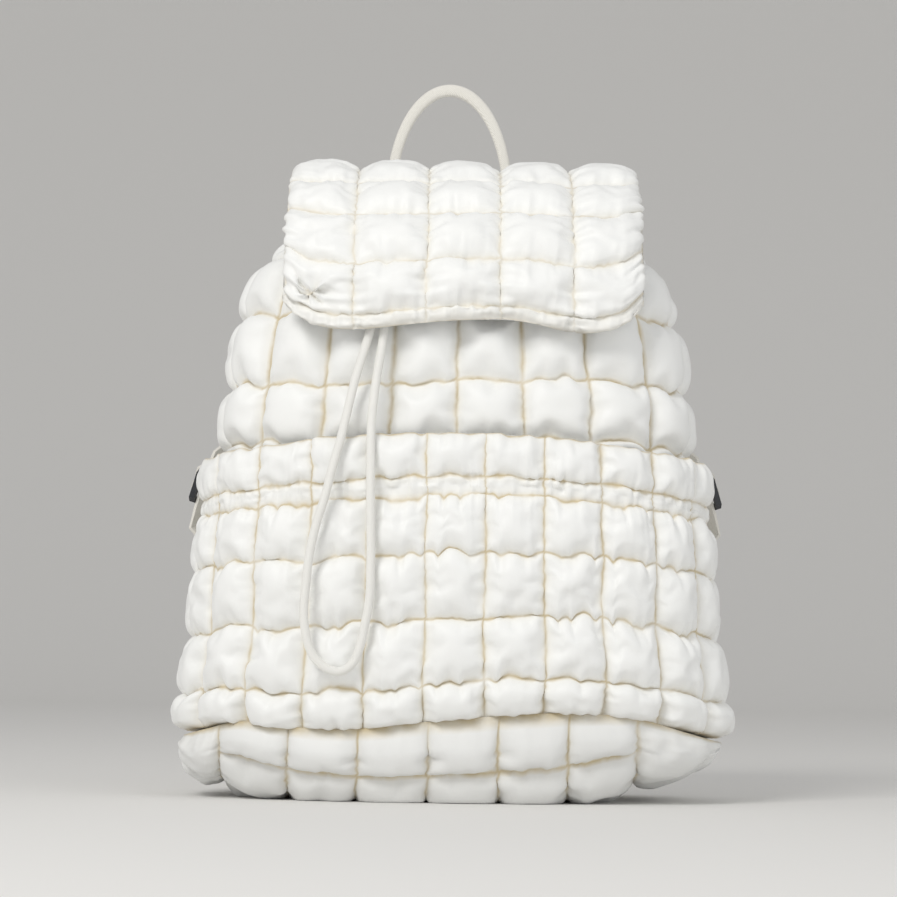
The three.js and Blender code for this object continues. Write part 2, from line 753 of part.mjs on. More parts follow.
// The lower webbing's way down to the base seam. Up is a share of the buckle's height above
// the ground, counted from the seam, and out is a share of webSlack.
const webLine = [
  { up: 0.4, out: 1 },
  { up: 0.12, out: 0.67 },
  { up: -0.01, out: 0.29 },
];

function strapPad() {
  const acrossAt = (at) => new THREE.Vector3(1, 0, 0).lerp(buckleAxis(0), at);
  const frames = framesAlong(padLine, acrossAt, padSamples);
  const rings = cellLines(evenSeams(0, 1, padCells)).map((line) => {
    const frame = frames[Math.round(line.at * padSamples)];
    const width = THREE.MathUtils.lerp(padWidth, padEndWidth, line.at);
    const thickness = padThickness * THREE.MathUtils.lerp(padSeamShare, 1, line.puff);
    return ringAt(frame, width, thickness, padCorners);
  });
  return loftGeometry(rings);
}

function ribbonSolid(points, acrossAt, count) {
  const rings = framesAlong(points, acrossAt, count).map((frame) =>
    ringAt(frame, webWidth, webThickness, flatCorners),
  );
  return toSolid(loftGeometry(rings));
}

// Webbing from the pad down to the buckle. It starts against the pad's foot.
function strapTab() {
  const padFoot = padLine[padLine.length - 1];
  const padDown = padFoot.clone().sub(padLine[padLine.length - 2]).normalize();
  const start = padFoot.clone().addScaledVector(padDown, seat);
  const points = [
    start,
    start.clone().addScaledVector(padDown, webLead),
    onBuckle(tabEnd - webLead, webOut),
    onBuckle(tabEnd + webThickness, webOut),
  ];
  const ribbon = ribbonSolid(points, () => buckleAxis(0), tabSteps);
  return ribbon.add(barLoop(-barSpacing, tabEnd));
}

// Webbing from the buckle down to the base seam, where it is sewn in beside the body.
function strapWebbing() {
  const seam = bodyPoint(webAnchor, 0, 0);
  const outward = bodyPoint(webAnchor, 0, 1).sub(seam);
  const girth = new THREE.Vector3(outward.y, -outward.x, 0);
  const points = [
    onBuckle(webStart - webThickness, webOut),
    onBuckle(webStart + 2 * webLead, webOut),
    ...webLine.map(({ up, out }) =>
      seam
        .clone()
        .addScaledVector(outward, out * webSlack)
        .setZ(seam.z + up * (pocketSideTop - buckleDrop)),
    ),
  ];
  const acrossAt = (at) => buckleAxis(0).lerp(girth, Math.sqrt(at));
  return ribbonSolid(points, acrossAt, webSteps).add(barLoop(0, webStart));
}

// The drawcord hangs as one loop out of the gathered neck, under the flap and over the pocket.
// Its route is a list of points: across, backwards and up.
const cordRoute = [
  [-44, -38, 373],
  [-46, -55, 365],
  [-48, -70.5, 346],
  [-50, -81, 322],
  [-53, -85.5, 299],
  [-59, -92, 276],
  [-64, -98, 257],
  [-71, -105.5, 224],
  [-76, -108, 205],
  [-80.5, -109.5, 186],
  [-85, -110, 171],
  [-89, -110, 152],
  [-91, -110, 132],
  [-92, -109.5, 117],
  [-90.5, -109.5, 103],
  [-86.5, -109, 91],
  [-79.5, -109, 83.5],
  [-70, -109, 80.5],
  [-62, -109, 85],
  [-57.5, -109.5, 95],
  [-54.5, -110, 109],
  [-52, -110.5, 125],
  [-51.5, -111, 152],
  [-52, -111, 176],
  [-52.5, -109, 206],
  [-52.5, -104, 234],
  [-50, -96, 262],
  [-47.5, -91, 279],
  [-45.5, -85.5, 299],
  [-43, -81, 322],
  [-38, -70.5, 346],
  [-35, -55, 365],
  [-33, -38, 373],
];
function drawcord() {
  const curve = new THREE.CatmullRomCurve3(
    cordRoute.map((p) => new THREE.Vector3(...p)),
    false,
    "centripetal",
  );
  const section = new THREE.Shape(
    Array.from({ length: cordSides }, (_, i) => {
      const angle = (2 * Math.PI * i) / cordSides;
      const radius = cordDiameter / 2;
      return new THREE.Vector2(radius * Math.cos(angle), radius * Math.sin(angle));
    }),
  );
  return new THREE.ExtrudeGeometry(section, { steps: cordSteps, extrudePath: curve });
}

// Materials
const puffer = new THREE.MeshStandardMaterial({ color: 0xf3f0e6, roughness: 0.55, metalness: 0 });
const webbing = new THREE.MeshStandardMaterial({ color: 0xf4efe2, roughness: 0.8, metalness: 0 });
const cordTape = new THREE.MeshStandardMaterial({ color: 0xf5f1e2, roughness: 0.7, metalness: 0 });
const plastic = new THREE.MeshStandardMaterial({ color: 0x15171b, roughness: 0.4, metalness: 0 });

const backpack = new THREE.Group();

function add(name, geometry, material) {
  const mesh = new THREE.Mesh(geometry, material);
  mesh.name = name;
  backpack.add(mesh);
  return mesh;
}

const bodyCutter = toSolid(filledBody());
const flapCutter = toSolid(topFlap(trimSeat));
const baseCutter = toSolid(basePanel(true));
const flap = trimmed(toSolid(topFlap(0)), [bodyCutter]);
const mirror = (solid) => solid.mirror([1, 0, 0]);

add("body_shell", bodyShell(), puffer);
add("base_panel", basePanel(false), puffer);
add("front_pocket", frontPocket(), puffer);
add("top_flap", toGeometry(flap), puffer);
add("carry_handle", toGeometry(trimmed(toSolid(carryHandle()), [flapCutter])), webbing);

const pad = toSolid(strapPad());
const tab = strapTab();
const web = strapWebbing();
const buckle = toSolid(ladderBuckle().applyMatrix4(buckleFrame));
for (const [side, placed] of [["right", (solid) => solid], ["left", mirror]]) {
  add(`strap_pad_${side}`, toGeometry(trimmed(placed(pad), [bodyCutter, flapCutter])), puffer);
  add(`strap_tab_${side}`, toGeometry(placed(tab)), webbing);
  add(`ladder_buckle_${side}`, toGeometry(placed(buckle)), plastic);
  add(`strap_webbing_${side}`, toGeometry(trimmed(placed(web), [baseCutter, bodyCutter])), webbing);
}

const cord = trimmed(toSolid(drawcord()), [bodyCutter]);
add("drawcord", toGeometry(cord), cordTape);

export default backpack;
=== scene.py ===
# A cream quilted puffer backpack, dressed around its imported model. All lengths are in metres.
# +X is the right side seen from the front, -Y is the front and +Z is up.
import math

import bpy
import numpy as np
from mathutils import Matrix, Vector


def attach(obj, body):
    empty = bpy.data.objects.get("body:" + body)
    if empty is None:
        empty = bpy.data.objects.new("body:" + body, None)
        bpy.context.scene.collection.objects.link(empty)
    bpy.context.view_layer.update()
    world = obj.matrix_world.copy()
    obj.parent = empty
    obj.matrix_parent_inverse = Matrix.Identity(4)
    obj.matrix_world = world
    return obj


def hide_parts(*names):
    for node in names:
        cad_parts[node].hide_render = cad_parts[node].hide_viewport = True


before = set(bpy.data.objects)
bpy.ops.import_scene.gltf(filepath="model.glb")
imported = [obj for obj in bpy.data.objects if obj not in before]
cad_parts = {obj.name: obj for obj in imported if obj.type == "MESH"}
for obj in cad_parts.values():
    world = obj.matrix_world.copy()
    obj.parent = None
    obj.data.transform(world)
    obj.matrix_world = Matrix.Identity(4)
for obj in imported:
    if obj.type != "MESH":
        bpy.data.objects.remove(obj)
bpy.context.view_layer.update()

# Bounds that keep divisions safe, and how close to a seam a point counts as on it
TINY = 1e-12
SMALL = 1e-9
ON_SEAM = 1e-6

# Body
BODY_WIDTH = 0.312
BODY_DEPTH = 0.166
BODY_HEIGHT = 0.348
BODY_WALL = 0.007
QUILT_PUFF = 0.008
HIDDEN_PUFF = 0.0004
BODY_COLUMNS = 18
ROUNDNESS = 2.6
RIM_SEAT = -0.0004  # the pieces' feet are this far below the rim, so that no slit shows

# Base
RIM_HEIGHT = 0.038
RIM_ARCH = 0.014
BASE_WALL = 0.012
BASE_PUFF = 0.006
BASE_LEDGE = 0.017
BASE_BACK_LEDGE = 0.008
BASE_FLAT = 0.6
BASE_END_FLAT = 0.28
BASE_CURVE = 2.4
BASE_SAG = 0.024
BASE_COLUMN = 0.0433
BASE_COLUMN_SHIFT = -0.0155
BASE_COLUMNS = 6
BASE_END_SHARE = 0.985
FLOOR_GAP = 0.0002

# Pocket
POCKET_SPAN = 0.31
POCKET_SIDE_TOP = 0.212
POCKET_ARCH = 0.016
POCKET_HOLLOW = 0.011
POCKET_END_GAP = 0.0005
POCKET_END_POWER = 6
POCKET_COLUMNS = 15
POCKET_EDGE_ROOM = 0.02  # how far the body stays flat below the pocket's top, as a share
POCKET_SEAM_SHARE = 0.003
POCKET_SEAM_RISE = 0.012  # over this share of the girth the body's cells rise beside the pocket

# Flap
FLAP_WIDTH = 0.225
FLAP_SHIFT = 0.003
FLAP_COLUMN = 0.0456
FLAP_RISE = 0.017
FLAP_DROP = 0.103
FLAP_WALL = 0.006
FLAP_PUFF = 0.005
FLAP_WRAP = 0.014
FLAP_CORNER = 0.06
FLAP_CORNER_POWER = 8
FLAP_ROWS = 7
FLAP_LEAD = 0.02

# How much lower the flap's front edge hangs: across is a share of its half width.
FLAP_HANG = {
    "across": [-1, -0.85, -0.6, -0.3, 0, 0.3, 0.6, 0.85, 1],
    "drop": [0.006, 0.008, 0.009, 0.005, 0.002, 0.002, 0.008, 0.009, 0.006],
}

# Handle, straps and cord
HANDLE_SPAN = 0.078
HANDLE_RISE = 0.0725
HANDLE_SHIFT = -0.007
HANDLE_SET_IN = 0.027
HANDLE_WIDTH = 0.0095
HANDLE_THICKNESS = 0.007
HANDLE_LEG_SHARE = 0.66
HANDLE_TOP_SHARE = 0.85
HANDLE_ROOT = 0.006
PAD_WIDTH = 0.048
PAD_END_WIDTH = 0.034
PAD_THICKNESS = 0.009
PAD_CELLS = 6
PAD_SEAM_SHARE = 0.38
PAD_PINCH = 0.05
PAD_GATHER = 0.0009
PAD_CELL_LENGTH = 0.029
BUCKLE_TURN = math.radians(70)
CORD_DIAMETER = 0.0055

MOUTH_HEIGHT = RIM_HEIGHT + BODY_HEIGHT

# Level sections of the body: height is a share of the body's height, width of its width, and
# front and back of its depth.
# Puff, of the row above each level, is a share of a quilt cell's puff, and steps its mesh rows.
BODY_LEVELS = {
    "height": [0, 0.129, 0.259, 0.388, 0.52, 0.632, 0.766, 0.87, 0.947, 0.971, 1],
    "width": [1, 0.987, 0.968, 0.949, 0.933, 0.915, 0.869, 0.766, 0.564, 0.46, 0.487],
    "front": [0.482, 0.518, 0.53, 0.524, 0.506, 0.485, 0.438, 0.357, 0.253, 0.205, 0.217],
    "back": [0.494, 0.506, 0.506, 0.5, 0.488, 0.472, 0.449, 0.408, 0.349, 0.277, 0.289],
    "puff": [1, 1, 1, 1, 1, 1, 1, 0.75, 0.2, 0.5],
    "steps": [11, 11, 11, 11, 11, 11, 11, 8, 3, 3],
}

# Levels of the pocket: gap is a share of the pocket's hollow, wall of the body's wall, and puff,
# of the row above the level, of a quilt cell's puff.
POCKET_LEVELS = {
    "height": [0, 0.13, 0.355, 0.585, 0.785, 0.85, 1],
    "gap": [0.15, 0.95, 0.82, 0.95, 0.9, 0.95, 1.15],
    "wall": [1.8, 1.05, 0.75, 0.75, 0.75, 0.75, 0.6],
    "puff": [1.2, 0.8, 0.75, 0.65, 0.12, 0.55],
    "steps": [9, 14, 14, 13, 6, 10],
}

# The flap's middle line from its front edge to its root: depth is a share of the body's depth,
# and drop a share of the flap's drop below its crest.
FLAP_LINE = {
    "depth": [-0.585, -0.54, -0.398, -0.205, 0.012, 0.229, 0.392, 0.464, 0.44],
    "drop": [1, 0.63, 0.35, 0.13, 0.005, 0, 0.065, 0.27, 0.5],
}

# The sewn rim's waves along the front: across is a share of the base's half width.
RIM_WAVE = {
    "across": [-1, -0.87, -0.75, -0.58, -0.35, -0.09, 0.17, 0.4, 0.64, 0.84, 1],
    "lift": [0, 0.004, 0.005, -0.0015, -0.005, -0.0015, 0.003, 0.007, 0.008, 0.004, 0],
}

# The base's seams from its back to its front, as shares of its half depth
BASE_ROWS = {
    "at": [1, 0.92, 0.5, 0, -0.5, -0.92, -1],
    "steps": [5, 12, 12, 12, 12, 5],
}

# The pad's middle line from the yoke to its foot, as shares of the body's width, depth and height.
PAD_LINE = {
    "across": [0.118, 0.125, 0.16, 0.215, 0.295, 0.436],
    "behind": [0.385, 0.51, 0.62, 0.685, 0.685, 0.585],
    "up": [0.9, 0.877, 0.81, 0.72, 0.645, 0.568],
}

# Camera: where the photograph was taken from
CAMERA_AT = (-0.005, -2.0, 0.09)
CAMERA_AIM_HEIGHT = 0.225
CAMERA_ROLL = math.radians(0.8)
VIEW_WIDTH = 0.58
SENSOR_WIDTH = 36
CAMERA_REACH = 20

# The drawcord's route, out of the gathered neck, round its loop and back into the neck
CORD_ROUTE = [
    (-0.044, -0.038, 0.373), (-0.046, -0.055, 0.365), (-0.048, -0.0705, 0.346),
    (-0.05, -0.081, 0.322), (-0.053, -0.0855, 0.299), (-0.059, -0.092, 0.276),
    (-0.064, -0.098, 0.257), (-0.071, -0.1055, 0.224), (-0.076, -0.108, 0.205),
    (-0.0805, -0.1095, 0.186), (-0.085, -0.11, 0.171), (-0.089, -0.11, 0.152),
    (-0.091, -0.11, 0.132), (-0.092, -0.1095, 0.117), (-0.0905, -0.1095, 0.103),
    (-0.0865, -0.109, 0.091), (-0.0795, -0.109, 0.0835), (-0.07, -0.109, 0.0805),
    (-0.062, -0.109, 0.085), (-0.0575, -0.1095, 0.095), (-0.0545, -0.11, 0.109),
    (-0.052, -0.1105, 0.125), (-0.0515, -0.111, 0.152), (-0.052, -0.111, 0.176),
    (-0.0525, -0.109, 0.206), (-0.0525, -0.104, 0.234), (-0.05, -0.096, 0.262),
    (-0.0475, -0.091, 0.279), (-0.0455, -0.0855, 0.299), (-0.043, -0.081, 0.322),
    (-0.038, -0.0705, 0.346), (-0.035, -0.055, 0.365), (-0.033, -0.038, 0.373),
]


# Camera
def make_camera():
    data = bpy.data.cameras.new("photo_camera")
    data.sensor_width = SENSOR_WIDTH
    data.lens = SENSOR_WIDTH * -CAMERA_AT[1] / VIEW_WIDTH
    data.clip_end = CAMERA_REACH
    camera = bpy.data.objects.new("photo_camera", data)
    bpy.context.scene.collection.objects.link(camera)
    camera.location = CAMERA_AT
    aim = Vector((CAMERA_AT[0], 0, CAMERA_AIM_HEIGHT)) - Vector(CAMERA_AT)
    turn = aim.to_track_quat("-Z", "Y").to_matrix().to_4x4()
    camera.rotation_euler = (turn @ Matrix.Rotation(CAMERA_ROLL, 4, "Z")).to_euler()
    bpy.context.scene.camera = camera


make_camera()


# Smooth arithmetic
def cubic_through(keys, values, at):
    """The smooth curve through values at keys, as arrays."""
    k = np.asarray(keys, float)
    v = np.asarray(values, float)
    before = np.maximum(np.arange(len(k)) - 1, 0)
    after = np.minimum(np.arange(len(k)) + 1, len(k) - 1)
    slopes = (v[after] - v[before]) / (k[after] - k[before])
    at = np.asarray(at, float)
    i = np.clip(np.searchsorted(k, at, side="left") - 1, 0, len(k) - 2)
    span = k[i + 1] - k[i]
    t = np.clip((at - k[i]) / span, 0, 1)
    rise = v[i + 1] - v[i]
    start = slopes[i] * span
    end = slopes[i + 1] * span
    bend = start + end - 2 * rise
    return v[i] + t * (start + t * (rise - start - bend + t * bend))


def smooth(t):
    t = np.clip(t, 0, 1)
    return t * t * (3 - 2 * t)


def lerp(a, b, t):
    return a + (b - a) * t


def unit(v):
    return v / np.maximum(np.linalg.norm(v, axis=-1, keepdims=True), TINY)


def catmull_rom(points, per_span):
    """The centripetal curve through points, with per_span steps between each two."""
    p = np.asarray(points, float)
    p = np.vstack([2 * p[0] - p[1], p, 2 * p[-1] - p[-2]])
    made = []
    for k in range(1, len(p) - 2):
        x0, x1, x2, x3 = p[k - 1 : k + 3]
        d0, d1, d2 = (np.linalg.norm(b - a) ** 0.5 for a, b in ((x0, x1), (x1, x2), (x2, x3)))
        t1 = ((x1 - x0) / d0 - (x2 - x0) / (d0 + d1) + (x2 - x1) / d1) * d1
        t2 = ((x2 - x1) / d1 - (x3 - x1) / (d1 + d2) + (x3 - x2) / d2) * d1
        t = (np.arange(per_span) / per_span)[:, None]
        rise = x2 - x1
        made.append(x1 + t * t1 + t**2 * (3 * rise - 2 * t1 - t2) + t**3 * (t1 + t2 - 2 * rise))
    made.append(p[-2][None])
    return np.vstack(made)


def lengths_along(line):
    steps = np.linalg.norm(np.diff(line, axis=0), axis=1)
    return np.concatenate([[0], np.cumsum(steps)])


def even_along(line, count):
    """count + 1 points spread evenly along a polyline, and its length."""
    along = lengths_along(line)
    at = np.linspace(0, along[-1], count + 1)
    return np.stack([np.interp(at, along, line[:, k]) for k in range(line.shape[1])], 1), along[-1]


# Smooth noise from -1 to 1, with one lump per unit
NOISE_LATTICE = 512


def noise_plane(a, b, seed):
    lattice = np.random.default_rng(seed).uniform(-1, 1, (NOISE_LATTICE, NOISE_LATTICE))
    i = np.floor(a).astype(int)
    j = np.floor(b).astype(int)
    s = smooth(a - i)
    t = smooth(b - j)
    pick = lambda di, dj: lattice[(i + di) % NOISE_LATTICE, (j + dj) % NOISE_LATTICE]
    return lerp(lerp(pick(0, 0), pick(1, 0), s), lerp(pick(0, 1), pick(1, 1), s), t)


def apart(seam, spread):
    """Where the noise of each seam is read, far from that of its neighbours."""
    return seam * spread + 0.5


def bell(distance, width):
    return np.exp(-((distance / width) ** 2))


def rounded(wave, power):
    """A signed value raised to a power, which squares a sine or cosine off where it's under 1."""
    return np.sign(wave) * np.abs(wave) ** power


# Body sections
GIRTH_SAMPLES = 360


def on_section(angle, half_width, centre, half_depth):
    x = half_width * rounded(np.sin(angle), 2 / ROUNDNESS)
    return x, centre - half_depth * rounded(np.cos(angle), 2 / ROUNDNESS)


def half_section(half_width, front, back):
    """Angles and lengths along half a level section, from the middle of the front."""
    centre = (back - front) / 2
    half_depth = (back + front) / 2
    angle = np.linspace(0, math.pi, GIRTH_SAMPLES + 1)
    x, y = on_section(angle, half_width, centre, half_depth)
    length = np.concatenate([[0], np.cumsum(np.hypot(np.diff(x), np.diff(y)))])
    return angle, length, centre, half_depth


def rim_at(x, y):
    side = np.clip(x / (BODY_WIDTH / 2 + BASE_LEDGE), -1, 1)
    frontness = np.clip(0.5 - y / BODY_DEPTH, 0, 1)
    wave = cubic_through(RIM_WAVE["across"], RIM_WAVE["lift"], side)
    return RIM_HEIGHT + (RIM_ARCH * (1 - side**2) + wave) * frontness


def body_row(share, height):
    """Seam points, level normals and foot heights of the body at shares of its girth."""
    value = lambda name: float(cubic_through(BODY_LEVELS["height"], BODY_LEVELS[name], height))
    half_width = BODY_WIDTH / 2 * value("width")
    section = half_section(half_width, BODY_DEPTH * value("front"), BODY_DEPTH * value("back"))
    angle, length, centre, half_depth = section
    wanted = np.minimum(np.abs(share) * 2, 1) * length[-1]
    x, y = on_section(np.interp(wanted, length, angle), half_width, centre, half_depth)
    nx = np.abs(x / half_width) ** (ROUNDNESS - 1) / half_width
    depth_share = (y - centre) / half_depth
    ny = rounded(depth_share, ROUNDNESS - 1) / half_depth
    size = np.hypot(nx, ny)
    side = np.where(share < 0, -1, 1)
    foot = rim_at(side * x, y) + RIM_SEAT
    return np.stack([side * x, y], -1), np.stack([side * nx / size, ny / size], -1), foot


def body_points(share, height, out):
    """Points of the body's seams, moved out level: share runs along a row, height up the rows."""
    rows = []
    for h in height:
        xy, normal, foot = body_row(share, h)
        z = foot + h * (MOUTH_HEIGHT - foot)
        rows.append(np.column_stack([xy + normal * out, z]))
    return np.array(rows)


class Table:
    """A surface given on a regular grid of shares, read between its points."""

    def __init__(self, u, v, points):
        self.u, self.v, self.points = u, v, points

    def at(self, u, v):
        def cell(x, line):
            count = len(line) - 1
            a = np.clip((x - line[0]) / (line[-1] - line[0]) * count, 0, count - SMALL)
            return a.astype(int), (a - a.astype(int))[..., None]

        i, s = cell(u, self.u)
        j, t = cell(v, self.v)
        p = self.points
        low = lerp(p[j, i], p[j, i + 1], s)
        high = lerp(p[j + 1, i], p[j + 1, i + 1], s)
        return lerp(low, high, t)


BODY_TABLE_SIZE = (721, 161)


def body_table():
    u = np.linspace(-0.5, 0.5, BODY_TABLE_SIZE[0])
    v = np.linspace(0, 1, BODY_TABLE_SIZE[1])
    return Table(u, v, body_points(u, v, 0.0))


# Pocket surface
POCKET_SAMPLES = 241
POCKET_TABLE_SIZE = (401, 121)
POCKET_LEVEL_ROUNDS = 4
NORMAL_REACH = 0.001


def pocket_out(q, at):
    value = lambda name: cubic_through(POCKET_LEVELS["height"], POCKET_LEVELS[name], at)
    middle = 1 - np.abs(q) ** POCKET_END_POWER
    gap = POCKET_END_GAP + (POCKET_HOLLOW * value("gap") - POCKET_END_GAP) * middle
    return np.maximum(gap, POCKET_END_GAP), BODY_WALL * value("wall")


def pocket_row(q, at, out_share, body):
    """Points over the body at shares q of the pocket's reach, on its inside, where out_share
    is 0, or its outside, where it is 1."""
    share = q * POCKET_SPAN
    level = np.full(q.shape, at * (POCKET_SIDE_TOP - RIM_HEIGHT) / BODY_HEIGHT)
    for _ in range(POCKET_LEVEL_ROUNDS):
        p = body.at(share, level)
        foot = rim_at(p[:, 0], p[:, 1]) + RIM_SEAT
        arch = 1 - np.minimum(np.abs(p[:, 0]) / (BODY_WIDTH / 2), 1) ** 2
        top = POCKET_SIDE_TOP + POCKET_ARCH * arch * (p[:, 1] < 0)
        level = at * (top - foot) / (MOUTH_HEIGHT - foot)
    p = body.at(share, level)
    ahead = body.at(share + NORMAL_REACH, level) - body.at(share - NORMAL_REACH, level)
    normal = unit(np.stack([ahead[:, 1], -ahead[:, 0]], 1))
    gap, wall = pocket_out(q, at)
    p = p.copy()
    p[:, :2] += normal * (gap + wall * out_share)[:, None]
    return p


def pocket_table(out_share, body):
    samples = np.linspace(-1, 1, POCKET_SAMPLES)
    q_even = np.linspace(-1, 1, POCKET_TABLE_SIZE[0])
    v = np.linspace(0, 1, POCKET_TABLE_SIZE[1])
    rows = []
    for at in v:
        along = lengths_along(pocket_row(samples, at, 1.0, body))
        q = np.interp((q_even + 1) / 2 * along[-1], along, samples)
        rows.append(pocket_row(q, at, out_share, body))
    return Table(q_even, v, np.array(rows))


# Meshes
def grid_normals(p, closed):
    """Outward normals of a grid of points whose columns run to the right and rows upward."""
    if closed:
        along = np.roll(p, -1, 1) - np.roll(p, 1, 1)
    else:
        along = np.gradient(p, axis=1)
    up = np.gradient(p, axis=0)
    return unit(np.cross(along, up))


def finer(p, closed):
    """A grid with a point added between each two, on the cubic through its four neighbours."""

    def split(a, wrap):
        ends = (a[-1:], a[:2]) if wrap else (2 * a[:1] - a[1:2], 2 * a[-1:] - a[-2:-1])
        b = np.concatenate([ends[0], a, ends[1]])
        middle = (9 * (b[1:-2] + b[2:-1]) - b[:-3] - b[3:]) / 16
        made = np.empty((len(a) + len(middle),) + a.shape[1:])
        made[0::2], made[1::2] = a, middle
        return made

    p = split(p, False)
    return np.swapaxes(split(np.swapaxes(p, 0, 1), closed), 0, 1)


def numbered(ny, nx, closed, start=0):
    """The numbers of a grid's points. A closed grid's first column comes again at its end."""
    number = start + np.arange(ny * nx).reshape(ny, nx)
    return np.hstack([number, number[:, :1]]) if closed else number


def grid_faces(n, flip=False):
    quads = np.stack([n[:-1, :-1], n[:-1, 1:], n[1:, 1:], n[1:, :-1]], -1).reshape(-1, 4)
    return (quads[:, ::-1] if flip else quads).tolist()


def mesh_object(name, points, faces, material, floats=None):
    mesh = bpy.data.meshes.new(name)
    mesh.from_pydata(np.asarray(points).tolist(), [], faces)
    mesh.update()
    for key, values in (floats or {}).items():
        attribute = mesh.attributes.new(key, "FLOAT", "POINT")
        attribute.data.foreach_set("value", np.asarray(values, np.float32).ravel())
    mesh.polygons.foreach_set("use_smooth", np.ones(len(mesh.polygons), bool))
    made = bpy.data.objects.new(name, mesh)
    bpy.context.scene.collection.objects.link(made)
    if material:
        mesh.materials.append(material)
    return made


def wall_object(name, outer, inner, closed, material, floats):
    """A closed wall between a fine outer grid and a coarser inner one with matching corners."""
    ny, nx = outer.shape[:2]
    my, mx = inner.shape[:2]
    fine = numbered(ny, nx, closed)
    coarse = numbered(my, mx, closed, ny * nx)
    faces = grid_faces(fine) + grid_faces(coarse, flip=True)

    def stitch(long, short, flip):
        per = (len(long) - 1) // (len(short) - 1)
        for k in range(len(short) - 1):
            face = long[k * per : (k + 1) * per + 1].tolist() + [int(short[k + 1]), int(short[k])]
            faces.append(face if flip else face[::-1])

    stitch(fine[0], coarse[0], False)
    stitch(fine[-1], coarse[-1], True)
    if not closed:
        stitch(fine[:, 0], coarse[:, 0], True)
        stitch(fine[:, -1], coarse[:, -1], False)
    points = np.vstack([outer.reshape(-1, 3), inner.reshape(-1, 3)])
    padded = {k: np.concatenate([v.ravel(), np.zeros(my * mx)]) for k, v in floats.items()}
    return mesh_object(name, points, faces, material, padded)


# Quilting: a sheet of cells between seams. Along a seam, lumps are counted for each cell.
PILLOW_POWER = 4.0
SCALLOP = {"lumps": 3.1, "apart": 7.0, "power": 0.6, "height": 2.2, "level": 1.2}
WANDER = {"lumps": 1.7, "apart": 5.0, "cusp_lumps": 3.6, "cusp_share": 0.8, "power": 0.6}
WANDER_LEVEL = 0.5
SCALLOP_FADE = 2


def cell_lines(cells, steps):
    """Cell coordinates of the grid lines, with steps in each cell. Whole numbers are seams."""
    steps = [steps] * cells if np.isscalar(steps) else steps
    return np.concatenate([k + np.arange(n) / n for k, n in enumerate(steps)] + [[cells]])


def seam_gap(c):
    """How far a cell coordinate is from the nearest seam, in cells."""
    return np.abs(c - np.round(c))


def swollen(gap, power=PILLOW_POWER):
    """How far a cell stands out at a distance from its seam, from 0 to 1."""
    return 1 - (1 - 2 * gap) ** power


# What a quilt has where it asks for nothing else
QUILT_WANTS = {
    "wander": 0.03,
    "reach": 0.009,
    "zigzag": 0.0006,
    "column_gather": 1.0,
    "crease_shade_strength": 1.0,
    "hidden": lambda c, r: np.zeros(c.shape, bool),
    "rise": lambda c, r: 1.0,
    "merged": lambda c, r: r,
    "extra": lambda c, r, s_row, s_col: 0.0,
    "crease_shade": lambda c, r: 0.0,
}


